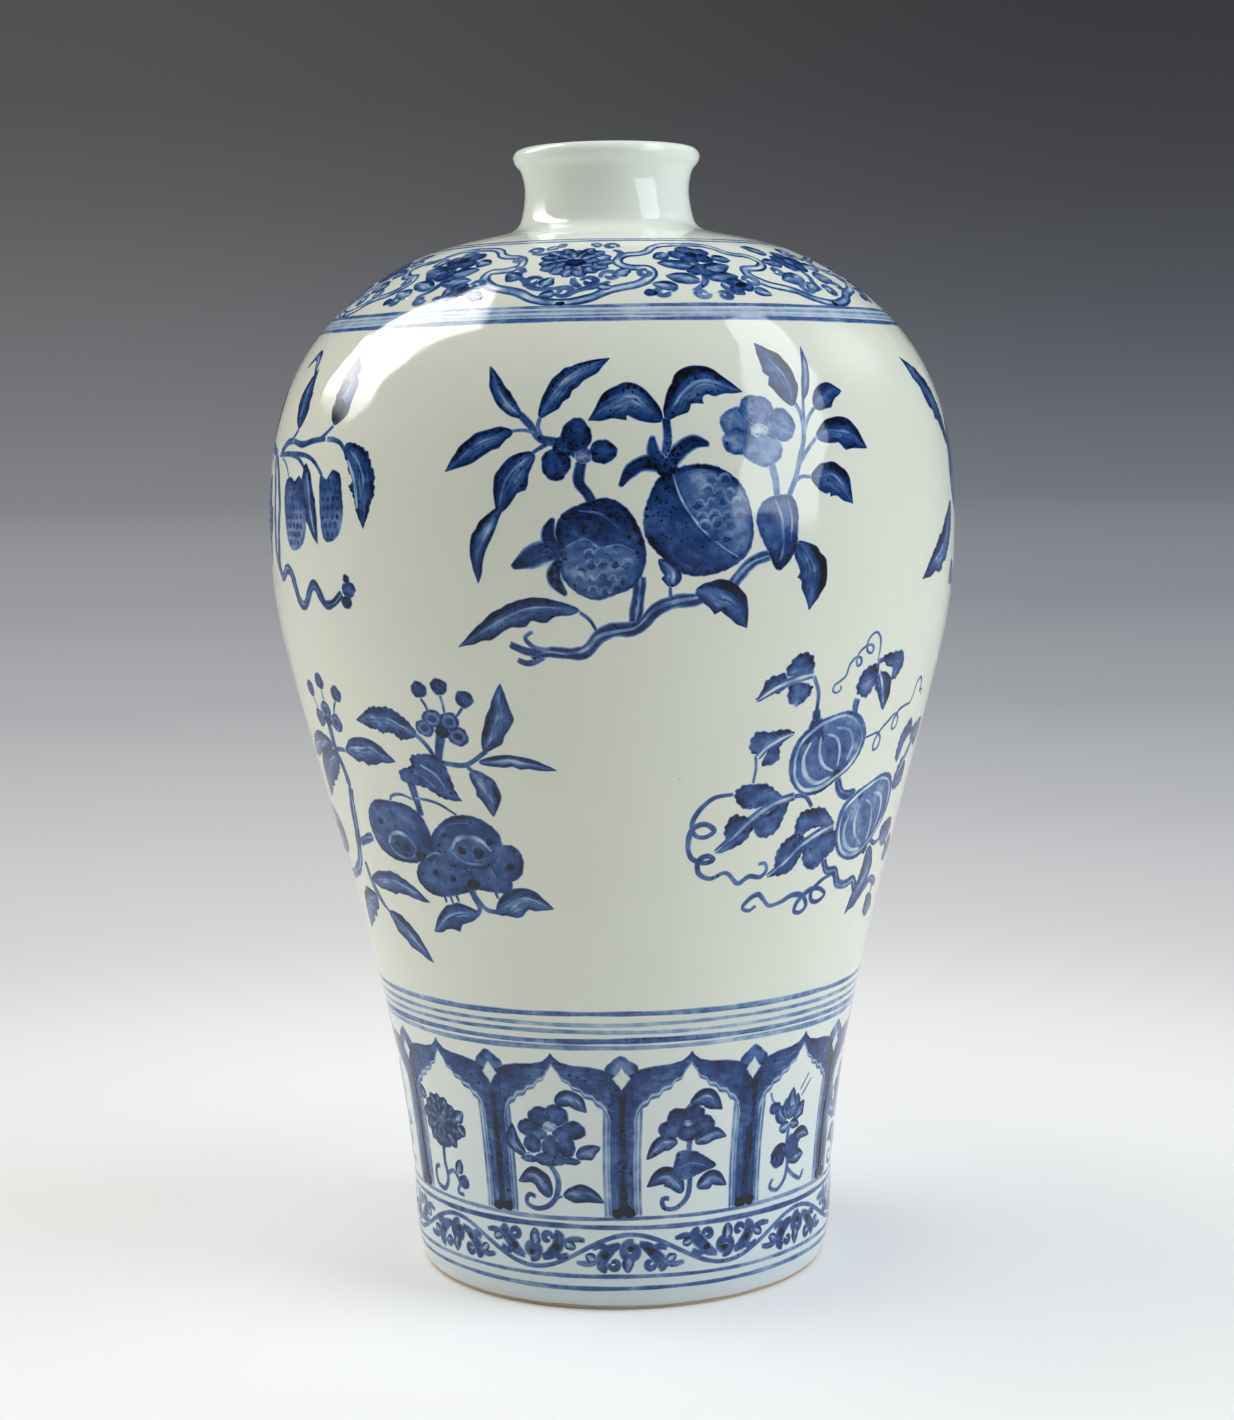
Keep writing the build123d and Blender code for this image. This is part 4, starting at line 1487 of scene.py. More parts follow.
# Lower spray at the left: two round fruits seen from below, and flowers with round buds over them
appleSpray = {
    "angle": -42, "radius": 88.31, "leafWash": 0.62,
    "branches": [
        (3.4, 0.7, -52, 126, -44, 128, -36, 131.2, -31.5, 139.8, -28.7, 147, -27.4, 152.5, -26, 157),
        (2.4, 0.66, -30, 139, -25, 141.2, -19.6, 142), (2.4, 0.66, -26, 156.6, -26.6, 162, -29.2, 168),
        (2.2, 0.66, -31, 133, -30, 128, -27, 123, -24, 119.5),
    ],
    "stems": [
        (0.8, 0.5, 13.3, 187.4, 14.4, 185.5, 15.1, 183), (0.8, 0.5, 19.5, 188.6, 19.9, 185.6, 20, 182),
        (0.8, 0.5, 25.6, 185.2, 24.2, 183.4, 22.4, 181), (2.8, 0.66, 18.2, 177.6, 16.8, 172.6, 15, 168.4),
        (1.4, 0.6, 15.8, 168.5, 20, 167.8, 24, 168, 30.8, 172.6), (1.2, 0.6, 24, 168, 25, 167, 26, 166),
        (2.6, 0.7, 3.4, 164, 4.9, 158, 5.4, 151), (0.9, 0.5, -6, 154.6, -5, 156.4, -1, 157.4, 4, 156),
        (0.9, 0.5, 4, 156.8, 12, 155.8, 18.6, 152.4), (2.2, 0.66, 18.5, 130.4, 19.4, 128, 20.8, 124.6),
        (1.6, 0.62, 19.4, 128, 23, 124, 28, 123), (1.6, 0.62, 20, 127.4, 20.8, 124, 19, 121.4),
        (1, 0.7, 8, 128, 8.6, 124.6), (1, 0.7, 10.4, 127.6, 11.2, 124.4),
        (0.9, 0.7, 12.6, 128, 13.6, 125.2), (1, 0.66, 27, 130.6, 27.8, 127.2),
        (1, 0.66, 29.4, 130.8, 30.6, 127.6), (0.8, 0.5, -35.7, 184, -34.6, 182, -33.7, 179),
        (0.8, 0.5, -28, 186.8, -28, 184.5, -27.8, 181), (0.8, 0.5, -21, 184, -23, 181.6, -24.2, 178),
        (2.6, 0.62, -28.7, 177, -28.8, 171, -29.2, 166), (1.4, 0.6, -29, 168.4, -26, 168.8, -22.4, 168.5),
        (1.4, 0.6, -50, 127, -54, 131, -56, 135), (1.4, 0.6, 9.4, 176.4, 12.4, 173.4, 15, 169),
        (1.2, 0.6, -25, 120.6, -23, 119, -21, 117.4),
    ],
    "leaves": [
        (29.8, 172, 35, 181, 36.5, 192.5, 7), (27.6, 169, 38, 169.5, 49.5, 167, 3.6),
        (25, 166.6, 29.5, 160, 30, 152.5, 7), (26.3, 123, 36, 127.4, 45.4, 125, 7.5),
        (20.4, 122.5, 10.5, 120.5, 0.4, 114.8, 7.5), (-22.8, 168.5, -11, 170, 0.4, 167.3, 8),
        (-30, 170, -42, 169, -55, 164, 7), (-29.2, 127.5, -14, 128.5, 1.7, 124, 7),
        (-28.3, 122.5, -38, 118, -45, 109.4, 9), (-22.4, 118.5, -13, 112.5, -2.8, 104.4, 7),
    ],
    "toothed": [(10.4, 176.2, -1, 179.8, -12.8, 179, 8.5), (-28, 167, -40, 161.5, -48.7, 151.2, 11)],
    "lobes": [
        (8.1, 170.3, 14.9, 169.8, 18.5, 165.3, 19.5, 159, 20.4, 157.3, 14.9, 157.5, 10.4, 159.8,
            5.8, 160.7, 1.7, 162, 1.3, 164.8, 5.8, 167, 5.8, 169),
    ],
    "fruits": [
        (0.66, 0, -0.08, -68, 140, -65, 145, -58, 147.4, -50, 146.4, -44.6, 142, -44, 137, -48, 133.6,
            -56, 132.6, -64, 134),
        (0.66, 0, -0.08, 1.3, 137, 8, 139.4, 16, 137.6, 21, 134, 20.4, 130.7, 14.9, 128, 9.5, 126.6,
            2.2, 127.5, -1.5, 130.7, -1, 134.4),
        (0.62, 0, -0.08, 20, 137, 27, 138, 32.5, 135, 32.6, 130.3, 28.5, 129.4, 20.4, 130.7),
        (0.64, 0.08, -0.06, 27, 141, 31, 144.2, 34.9, 143.9, 37.2, 139.8, 36.3, 135.3, 32.6, 133,
            28, 134),
        (0.64, 0, 0.08, 6.7, 142.5, 10.4, 148, 14.9, 151.6, 20.4, 152.5, 26.7, 151.2, 30.8, 147.5,
            31.3, 143, 28, 138, 20, 136, 11, 137),
        (0.68, 0, -0.06, -19.6, 145.3, -18.3, 150.7, -14.2, 153.9, -6.9, 154.8, -0.5, 154.8, 4, 152.5,
            6.7, 148.5, 7.6, 144.4, 5.8, 140.7, 0.4, 136.2, -6.9, 136.2, -12.4, 137.1, -17.4, 139.4),
    ],
    "dabs": [
        (13.3, 189.8, 2.4, 2.4, 0.7), (19.5, 190.9, 2.4, 2.4, 0.7), (26.3, 187.5, 2.5, 2.5, 0.7),
        (18.4, 177.6, 2.2, 2, 0.9), (-35.7, 186.6, 2.5, 2.5, 0.7), (-28, 189.4, 2.5, 2.5, 0.7),
        (-19.8, 186.2, 2.5, 2.5, 0.7), (-28.8, 177.4, 2.2, 2, 0.9), (20, 131.5, 2.6, 1.8, 0.98),
        (-54, 134.4, 2.4, 1.6, 0.95), (5.6, 139.8, 3, 2.6, 0.7),
    ],
    "petals": [
        (13.1, 178.5, 2.9, 2.6, 0.66), (16, 181.4, 3.2, 2.6, 0.68), (21, 180.8, 2.9, 2.7, 0.66),
        (23, 176.4, 3, 2.8, 0.68), (-33.9, 177.7, 2.9, 2.7, 0.66), (-28.4, 180.6, 3, 2.7, 0.68),
        (-23.6, 177, 2.9, 2.8, 0.66),
    ],
    "spots": [
        (-7.4, 141.4, 1), (-3.6, 140.6, 1.2), (18, 141.6, 1.1), (23.6, 141.2, 1.6), (6.6, 134, 0.9),
        (33, 137.6, 1), (13, 132.6, 0.9), (1.6, 138.6, 1.6), (-13, 148, 0.8), (12.8, 146, 0.8),
        (27.6, 145, 0.9),
    ],
    "pale": [
        (1.3, 0.24, 0.64, -11.4, 141, -9.4, 144, -5.4, 145.2, -1, 143.6, 0.8, 140.6),
        (0.8, 0.4, 0.64, 0.8, 140.8, -1.4, 138, -5.6, 137.4, -9.6, 138.8, -11.2, 141),
        (1.4, 0.24, 0.64, 14.4, 141.6, 16.4, 144.8, 20.6, 146.2, 25, 145.2, 28, 141.8),
        (0.8, 0.4, 0.64, 28, 141.6, 25.6, 138.6, 21, 137.8, 16.8, 138.8, 14.4, 141.4),
        (0.5, 0.44, 0.64, -17, 147, -12, 151, -5, 152.4, 2, 150),
        (0.5, 0.44, 0.64, 10, 145, 15, 149.4, 22, 150.4), (0.7, 0.3, 0.66, 4, 138.4, 8, 140.2, 12, 139.4),
        (0.9, 0.3, 0.62, 9, 167.4, 13.6, 164.6, 16.4, 160.4),
        (0.7, 0.3, 0.62, 6, 164.8, 9.6, 163.4, 13, 160.4),
        (0.9, 0.26, 0.62, -62, 139.6, -56, 141.8, -50, 140.4),
    ],
}

paintFrom(appleSpray, "apple_spray")


# Lower spray at the right: two ribbed melons on a vine
melonSpray = {
    "angle": 43, "radius": 91.03, "leafWash": 0.64,
    "branches": [
        (2.8, 0.7, 1.3, 135, 4, 131, 8.5, 130.5, 11.3, 126, 16.7, 125, 20.4, 126, 25, 121.5, 31, 121.5,
            37, 124, 44, 121),
        (2.6, 0.68, 0.4, 160, 3, 156, 6.7, 154.6, 10.4, 155),
    ],
    "stems": [
        (1.2, 0.6, -15, 192, -12.4, 187, -12, 181.5, -11.6, 177),
        (0.9, 0.56, -29.8, 170, -29.4, 166, -29.6, 161),
        (1.4, 0.62, -25, 153.3, -16, 156, -11.5, 156, -7.8, 152),
        (2.4, 0.66, 2.6, 184, 2.3, 181, 2.2, 179), (1.6, 0.62, 26, 138, 31, 136, 36, 137),
        (1.4, 0.6, 39, 137, 44, 134, 47, 132), (1.4, 0.6, 39, 123.6, 40, 120.6, 41, 117),
        (1.4, 0.6, 8, 194, 10.4, 194.4, 13.4, 194.8), (1.4, 0.6, 8.2, 194.2, 8.8, 191, 9.6, 188),
        (2.4, 0.66, -12.2, 182, -11.8, 178, -11.6, 174),
    ],
    "tendrils": [
        (0.8, 0.46, 8, 194, 8.2, 198, 7.4, 201.5, 5.6, 203, 3.6, 202, 2.6, 200, 3.2, 197.6, 4.8, 197,
            5.4, 198.4, 4.2, 199.4, 2, 199, 0, 197.4, -0.6, 195.4, 0.2, 193.6, 1.2, 194.2, 0.8, 195.8,
            -1.2, 196, -3, 194, -3.8, 191, -5.6, 189.6, -7.4, 188.4, -7.6, 186.8, -6, 186.2, -4.8, 187.2,
            -5.2, 188.4),
        (0.9, 0.56, 8.5, 171, 12, 171.8, 15.4, 172.2, 17.4, 170, 16.8, 167.4, 14.8, 167, 14.4, 169.6,
            16.4, 172.6, 20, 175.2, 23.4, 177.2, 25.6, 175.4, 25.2, 172.6, 23, 172.4, 22.8, 175,
            25.2, 178, 29, 179, 32, 179.4, 33.4, 182, 34.4, 185.4, 36.6, 186.8, 38.4, 185, 38.6, 182.2,
            40, 183, 41, 180.4),
        (1.5, 0.6, -35, 158.5, -41.5, 157.4, -45.5, 153.7, -47, 149.6, -45.5, 146.5, -42.4, 146,
            -40, 147.8, -42.8, 150, -46.5, 148.7, -48, 144.2, -46.5, 140, -42.4, 138.3, -39.6, 139,
            -41.5, 140.4, -44.2, 139.2, -44.2, 135.5, -40.5, 133.3, -35.5, 134.6, -31, 131, -27.4, 132.8,
            -23.3, 132.4, -21.5, 134.2, -22.4, 136.5, -25, 136.2),
        (1.5, 0.6, 7.6, 129.8, 2.2, 128.3, -1.5, 125, -0.5, 122.4, 3, 122, 5.4, 123.7, 2.2, 125.8,
            -2.4, 126, -7, 122.8, -7.8, 120, -5, 119.2, -2.8, 121, -5, 124.6, -9.6, 125.5, -14.2, 123.7,
            -18.7, 123, -21, 125, -23.3, 126.9, -26.5, 125.5, -28.3, 123.3, -26, 122.2, -23.3, 123.7),
    ],
    "lobes": [
        (-22.5, 196, -20.5, 198.5, -16.5, 198, -15, 195, -15.5, 192, -19, 191.5, -23.5, 193),
        (-28.5, 192, -24, 193, -23, 190, -25, 187.5, -28.5, 187.5, -31.5, 185.8, -30, 188.5),
        (-22, 190, -18, 190, -14.8, 189, -16.5, 185, -19.6, 183.2, -22, 186),
        (-31.9, 173.3, -30, 176.5, -26, 176.5, -22.4, 176.5, -18.7, 175.3, -22.4, 172, -22.4, 167.8,
            -26, 166.7, -27.8, 167, -26, 170.5, -29.6, 170, -31.5, 171),
        (-35, 158.7, -32.4, 161, -28.7, 161, -24.2, 160, -19.6, 156.5, -25, 154.6, -30.5, 153.3,
            -32.8, 155),
        (-37, 147.8, -34.6, 152, -29.6, 151.5, -27, 152.4, -27.8, 147.8, -31, 143.3, -39.2, 141.3,
            -36.5, 144.6),
        (-28, 149.6, -23, 152.4, -17.6, 155.4, -17.6, 150.4, -20.2, 146, -23.3, 144.4, -27, 145.6),
        (-13.3, 147.8, -11.5, 151, -6, 151.5, -1.5, 150.5, 2.6, 146, -1.5, 145.5, -6, 145.5,
            -11.5, 143.3),
        (-18.7, 138.7, -16, 143.3, -11.5, 144.2, -8.7, 142, -9.2, 137, -12.4, 133.3, -21, 132,
            -18.7, 134.2),
        (-9, 139.6, -2, 143, 4.9, 143.5, 5.4, 138, 1.3, 134.6, -2.8, 132.4, -7, 134.6),
        (1.3, 188.7, 3, 192, 6.7, 193.3, 9.5, 190.5, 8.5, 187, 5.8, 183.7, 2.2, 185),
        (10.4, 195, 14.9, 196.5, 19.5, 196, 21.3, 192.4, 18.5, 188.3, 16.3, 188.7, 15.8, 191.5,
            13, 192.4),
        (30.5, 166, 33, 172, 37, 174, 40, 170, 36, 167, 33, 161, 31, 162),
        (40, 170, 45, 172.6, 52, 172, 50, 165, 43, 166),
        (35, 158, 38, 162, 43, 159, 44, 154, 38, 152, 34, 153.5),
        (34, 140, 40, 142.6, 46, 140, 44, 135.4, 38, 134), (45, 134, 50, 136, 54, 132, 50, 128, 45, 129),
        (37, 119, 43, 117.6, 46, 113.6, 41, 111.4, 36, 114),
    ],
    "leaves": [(9.5, 190.5, 13.4, 186, 15.4, 178.7, 7), (27, 136, 29.4, 126, 20, 115, 9)],
    "sepals": [
        (3.4, 0.76, -11.6, 179, -12.6, 175, -14.4, 171), (3.2, 0.76, -11.4, 179, -9.6, 175, -8.2, 171.6),
    ],
    "rings": [(0, 0.88, 0.9, 0.1), (1, 0.88, 0.9, 0.1)],
    "ribs": [
        (2.6, -15, 156.4, -22, 154.4, -29, 150, -34, 145.6, -39.5, 141),
        (2.6, 3.4, 145.4, -2, 144, -8, 141.6, -14, 137, -21, 132),
        (2.2, -14.6, 192.4, -20, 191.2, -26, 189, -31.6, 185.6),
        (1.8, -29.4, 168.6, -27, 171.6, -23, 174, -18.6, 175.4), (1.8, 9.6, 191, 12.6, 186.4, 14.6, 181),
        (2, 36, 156, 41, 163, 47, 170),
    ],
    "fruits": [
        (0.56, -0.04, -0.1, -18.7, 167, -17.4, 172.4, -13.3, 176.5, -6.9, 179.6, -0.5, 180.5, 5.8, 177.4,
            9.5, 172.4, 8.5, 166.9, 4.9, 162.4, -0.5, 159.2, -6.9, 156.5, -13.3, 156.5, -17.4, 160.5),
        (0.56, 0, -0.1, 4, 146, 5.4, 150.5, 10.4, 154.2, 16.7, 156.9, 24, 158.7, 31.3, 156.9, 34.5, 152.4,
            34.9, 146.9, 32.2, 141.5, 26.7, 136.9, 20.4, 133.7, 13.1, 133.3, 7.6, 136, 4.5, 141.5),
    ],
    "dabs": [
        (-0.4, 161.6, 1.7, 1.5, 1), (23.8, 135.2, 1.8, 1.5, 1), (-11.6, 177.4, 1.6, 1.4, 0.9),
        (13.4, 153.4, 1.6, 1.4, 0.9),
    ],
    "pale": [
        (1.3, 0.16, 0.56, -12.2, 172.6, -14.2, 167.4, -12.6, 162.4, -8, 159.6, -2.6, 161),
        (1.1, 0.18, 0.56, -9.2, 173.6, -8.8, 168.6, -6.6, 164.8, -2, 162.4),
        (1, 0.2, 0.56, -7.4, 174.2, -3.2, 172.6, -1, 168.6, -0.8, 163.4),
        (1.1, 0.18, 0.56, -4.4, 175.8, 1.6, 174.4, 4, 170, 2.6, 164.8),
        (1.3, 0.16, 0.56, 10.6, 149.6, 8.4, 144.6, 9.6, 139.6, 14, 136.4, 20, 136),
        (1.1, 0.18, 0.56, 14.4, 151, 13.2, 145.6, 15.2, 140.6, 20.6, 137),
        (1, 0.2, 0.56, 17, 151.6, 21.4, 149, 23.6, 143.6, 23.6, 138),
        (1.1, 0.18, 0.56, 20.4, 153.4, 26.4, 151.4, 28.6, 146.4, 26.6, 140),
    ],
}

paintFrom(melonSpray, "melon_spray")


# Upper spray at the left: long rough fruits that hang from a crooked branch
gourdSpray = {
    "angle": -58, "radius": 103.49, "leafWash": 0.68,
    "branches": [
        (2.8, 0.72, -27, 254.7, -22.8, 249.3, -20.4, 241, -22, 230.2, -22.5, 224.7, -18.8, 219.3,
            -14, 222.4, -10.6, 221, -6, 213.8, -2.5, 212.5, 4.8, 217.9, 10.3, 213, 14.8, 213.4,
            19.4, 216.5),
        (2.6, 0.66, -30, 254.7, -25.8, 246, -26.4, 236, -25.4, 227, -22, 221),
        (2.6, 0.66, -27, 255, -36, 257.6, -45, 256, -52, 258),
    ],
    "stems": [
        (2.2, 0.64, -22, 255.6, -15, 259, -10.6, 259.3),
        (1.7, 0.6, -11, 259.3, -3.4, 258.4, 3.9, 259.4, 11, 259.7),
        (1.4, 0.6, 11, 259.7, 15, 259.6, 18.5, 258.4, 21, 256),
        (1.2, 0.58, 6, 259.2, 10, 261, 13.9, 263.6), (1.2, 0.58, -12, 259.4, -9.6, 261, -7.8, 263),
        (1.4, 0.6, -23.4, 255.2, -9.7, 255.4, -0.6, 255, 5.7, 253, 11, 249),
        (1.3, 0.58, -14, 255.4, -7, 254.6, -2, 252.6, 1.2, 250),
        (0.9, 0.42, -20, 254.5, -14.3, 252, -11, 248), (1.3, 0.58, -34, 257, -38, 252, -38.6, 248),
        (1.3, 0.58, -46, 256, -52, 253, -55, 249),
    ],
    "leaves": [
        (-7.7, 262.5, -8.6, 272, -7, 281.3, 8.6), (-8.4, 279, -13.4, 285.6, -20, 281.3, 3.2),
        (13.9, 263.4, 16.6, 274, 16.2, 285.6, 9), (0.3, 253, 3, 242, 8.5, 229.7, 8),
        (-52, 258, -58, 268, -56, 281, 9), (-42, 257, -39, 268, -42, 280, 8),
        (-52, 257, -64, 254, -70, 242, 9), (-30, 240, -36, 231, -36, 221, 7),
    ],
    "toothed": [(20.7, 258.4, 28.6, 250, 29.8, 234.5, 10.4)],
    "fruits": [
        (0.5, 0, 0.2, -14.7, 245.6, -13.4, 247.9, -9.7, 248.5, -6.5, 247.4, -3.4, 249.3, -0.2, 247.5,
            1.6, 242.9, 2, 237.5, 0.3, 231, -3.4, 227.9, -8, 227.9, -11.5, 230.6, -13.8, 236.5),
        (0.54, 0, 0.16, 9.8, 249.3, 13, 248.2, 15.7, 250.9, 19.4, 249.7, 20.7, 244.7, 21, 238.4,
            19.4, 232.9, 15.7, 231, 12, 231.5, 10.3, 237.5),
        (0.5, 0, 0.2, -46, 246, -43, 249, -38.6, 248, -34, 249, -32, 244, -32, 236, -35, 229.6, -40, 228,
            -44.6, 232, -46.4, 239),
        (0.5, 0, 0.2, -61, 247, -58, 250, -54, 249, -50, 249.6, -48.6, 244, -49, 236, -53, 231, -58, 232,
            -61, 239),
    ],
    "dabs": [
        (22.4, 217.6, 3, 2.2, 0.6), (21, 214, 2.4, 1.8, 0.66), (21.6, 220.6, 1.4, 1.2, 0.84),
        (14.6, 268, 3.4, 3.6, 0.98),
    ],
    "pale": [
        (1, 0.22, 0.6, 2.6, 249, 4.4, 241, 7, 233), (1.1, 0.24, 0.6, 22.6, 254, 26, 247.6, 27.6, 240),
        (0.9, 0.26, 0.66, -8.4, 266, -8.8, 272, -8, 277),
    ],
    "dashes": [
        ((-6.4, 237.6), (6.8, 9), 7, 2.5, 0.42), ((15.4, 240.4), (4.8, 8.6), 7, 2.4, 0.46),
        ((-39.4, 238), (6.2, 9), 7, 2.5, 0.42), ((-55, 240), (5.4, 8.4), 7, 2.5, 0.42),
    ],
}

paintFrom(gourdSpray, "gourd_spray")


# Upper spray at the right: peaches with saw-edged leaves
peachSpray = {
    "angle": 67, "radius": 103.49, "leafWash": 0.68,
    "branches": [
        (3.4, 0.72, 46, 207, 43, 214, 46, 221, 53, 226, 58, 233, 60, 242, 66, 248, 74, 250),
        (2.6, 0.7, 53, 226, 47, 228, 41, 229.6, 36, 233),
        (2.6, 0.7, 45, 212, 36, 213.6, 28, 212, 22, 215, 14, 214),
    ],
    "stems": [(1.4, 0.6, 66, 248, 67, 254, 65, 260), (1.4, 0.6, 58, 233, 66, 232, 72, 228)],
    "leaves": [(22, 215, 16, 218.6, 12.6, 213.4, 4.6)],
    "toothed": [
        (16.6, 254.6, 5.6, 269, -9.4, 282, 10.4), (12.8, 238.6, 3.6, 226.6, -14.8, 216.6, 10.4),
        (43, 262, 46, 274, 40, 284, 9), (65, 260, 66, 271, 76, 281, 10), (74, 250, 86, 254, 97, 248, 10),
        (72, 228, 82, 222, 94, 224, 10), (48, 222, 38, 218, 31, 222, 7), (46, 208, 56, 208, 66, 214, 8),
    ],
    "fruits": [
        (0.62, 0.1, 0.06, 14, 246, 16, 256, 22, 263, 31, 266, 41, 264, 47, 257, 48, 248, 44, 239,
            36, 232.6, 30, 228, 25, 233, 18, 238),
        (0.62, -0.1, 0.06, 62, 246, 63, 239, 70, 233.6, 79, 233, 86, 238, 88, 246, 85, 254, 78, 260,
            71, 258, 64, 253),
    ],
    "pale": [
        (0.9, 0.26, 0.6, 30, 230, 27, 240, 29, 252, 35, 263),
        (0.9, 0.26, 0.6, 78, 258, 74, 250, 74, 242, 78, 235), (0.7, 0.3, 0.6, 18, 246, 21, 255, 28, 262),
        (0.7, 0.3, 0.6, 84, 240, 85, 247, 81, 254),
    ],
    "seeds": [((40, 249), (5.6, 9), 5, 3, 0.56)],
}

paintFrom(peachSpray, "peach_spray")


# Upper spray at the back: a cluster of rough round fruits
lycheeSpray = {
    "angle": 188, "radius": 103.49, "leafWash": 0.68,
    "branches": [
        (3.6, 0.74, -44, 206, -34, 208, -24, 206, -14, 211, -6, 217, 2, 220, 10, 228, 12, 238, 10, 248,
            14, 258),
        (2.4, 0.68, -6, 217, -16, 224, -20, 232), (2.4, 0.68, 2, 220, 14, 219, 26, 224, 34, 224),
    ],
    "stems": [
        (1.4, 0.6, 10, 248, 2, 252, -6, 252), (1.4, 0.6, 12, 240, 20, 244, 26, 244),
        (1.3, 0.6, 14, 258, 8, 264, 2, 268), (1.3, 0.6, -20, 232, -28, 236, -34, 238),
    ],
    "leaves": [
        (14, 258, 20, 268, 32, 276, 10), (2, 268, -8, 274, -20, 272, 9.4), (14, 260, 10, 272, 14, 284, 8),
        (34, 224, 46, 226, 56, 220, 9.4), (-34, 238, -46, 240, -56, 232, 9.4),
        (-20, 232, -28, 226, -40, 224, 8), (-24, 206, -30, 200, -42, 198, 7),
        (26, 222, 32, 212, 42, 208, 9), (12, 240, 26, 256, 44, 254, 9),
    ],
    "fruits": [
        (0.52, 0, 0.14, -18, 246, -16, 254, -8, 257, -1, 254, 2, 246, -2, 238, -8, 236, -15, 239),
        (0.52, 0, 0.14, 18, 240, 21, 248, 29, 250, 36, 246, 38, 238, 34, 231, 26, 229, 20, 233),
        (0.52, 0, 0.14, -8, 232, -6, 240, 2, 243, 9, 240, 11, 232, 7, 225, 0, 223, -6, 226),
        (0.52, 0, 0.14, -36, 252, -34, 259, -27, 262, -20, 259, -18, 252, -21, 246, -28, 244, -34, 247),
    ],
    "dabs": [
        (-8, 256, 2, 1.5, 0.96), (28, 249, 2, 1.5, 0.96), (1, 242, 2, 1.5, 0.96),
        (-27, 261, 2, 1.5, 0.96),
    ],
    "dashes": [
        ((-8, 246), (8.4, 8.4), 6, 2.7, 0.42), ((28, 239.6), (8.2, 8.4), 6, 2.7, 0.42),
        ((1.4, 233), (7.8, 8), 6, 2.7, 0.42), ((-27, 253), (7.4, 7.2), 5, 2.7, 0.42),
    ],
}

paintFrom(lycheeSpray, "lychee_spray")


# Lower sprays at the back, the two of the front the other way round
for spray, angle, name in ((melonSpray, -132, "melon_spray_back"), (appleSpray, 134, "apple_spray_back")):
    paintFrom({**spray, "angle": angle}, name, hand=-1)


# Studio
studio = {
    "cameraPlace": (0.0, -0.79673, 0.25703),
    "cameraDip": 0.1091,  # radians below level
    "cameraTurn": -0.0006,
    "cameraRoll": -0.0165,
    "lens": 65.72,
    "sensor": 36,
    "aim": (0.0, 0.0, 0.22),
    # place, width, height, brightness, colour
    "overheadBox": ((-0.896, 0.314, 1.024), 0.6, 1.2, 24.0, (1.0, 0.985, 0.95)),
    "windowPanel": ((1.156, -0.377, 1.37), 0.68, 3.0, 32.0, (0.86, 0.93, 1.0)),
    "rightBack": ((1.16, 0.42, 1.1), 1.1, 0.8, 4.0, (0.95, 0.98, 1.0)),
    "softTop": ((-0.3, -0.15, 1.7), 1.4, 1.4, 14.2, (1.0, 0.99, 0.97)),
    "softSide": ((1.4, -0.4, 0.9), 1.2, 1.6, 19.4, (0.84, 0.91, 1.0)),
    "softLeft": ((-1.3, 0.3, 0.6), 1.2, 1.0, 7.7, (1.0, 0.99, 0.97)),
    # share of a bright box that fades out at each edge, and heights between which its low end fades
    "fades": {
        "overheadBox": (0.05, 0.6, 0.86),
        "windowPanel": (0.02, 0.18, 0.24),
        "rightBack": (0.45, 0.5, 0.9),
    },
    "fill": 0.55,
    "frontFill": 0.2,  # share of the fill that comes from the front, where the room is dark
    "frontFade": (0.05, 0.75),  # how far to the front the fill falls off
    "windowRoll": -23,  # degrees that the bright window leans
    "floorSize": 9.0,
    "floorSides": 96,
    "floorRoughness": 0.9,
    "floorColour": linear(246, 246, 245),
    # painted shade: seen from the camera and in reflections, the floor away from the vase takes this darker
    # colour
    "floorFar": linear(229, 229, 228),  # the same floor further out, as it is seen
    "skirt": (0.07, 0.19),  # distances between which it takes over
    "glowFade": (0.14, 0.55),  # and those between which the tones below do
    "sideReach": 0.24,  # how far to the side the tones change from the left ones to the right ones
    # distance from the vase, and the tones of the floor there at the left and at the right; the floor glows
    # in these tones, painted light that falls off with distance and is dimmer at the right
    "floorTones": [(0.0, (236, 236, 234), (230, 231, 232)), (0.35, (227, 227, 225), (224, 224, 225)),
                   (0.6, (212, 212, 211), (205, 206, 208)), (0.98, (196, 196, 196), (182, 184, 188)),
                   (1.64, (173, 174, 177), (157, 161, 166)), (3.05, (155, 156, 160), (135, 140, 147)),
                   (8.3, (131, 133, 137), (114, 119, 127)), (9.0, (131, 133, 137), (114, 119, 127))],
    # degrees above the horizon, and the tones of the backdrop there at the left and at the right: painted
    # light and shade of the backdrop, darker upward and at the right
    "backTones": [(-1.6, (131, 133, 137), (113, 118, 126)), (0.0, (122, 123, 127), (101, 106, 113)),
                  (0.6, (118, 119, 122), (96, 100, 107)), (2.7, (106, 107, 109), (81, 84, 90)),
                  (4.9, (93, 94, 95), (69, 71, 76)), (7.0, (83, 84, 84), (62, 62, 67)),
                  (9.0, (81, 81, 81), (57, 57, 61)), (12.0, (78, 78, 78), (54, 54, 58)),
                  (40.0, (66, 67, 68), (50, 50, 53))],
}


def makeCamera():
    camera = bpy.data.objects.new("camera", bpy.data.cameras.new("camera"))
    scene.collection.objects.link(camera)
    camera.data.lens = studio["lens"]
    camera.data.sensor_width = studio["sensor"]
    camera.data.clip_start = 0.01
    camera.matrix_world = (
        Matrix.Translation(studio["cameraPlace"])
        @ Matrix.Rotation(studio["cameraTurn"], 4, "Z")
        @ Matrix.Rotation(math.pi / 2 - studio["cameraDip"], 4, "X")
        @ Matrix.Rotation(studio["cameraRoll"], 4, "Z")
    )
    scene.camera = camera


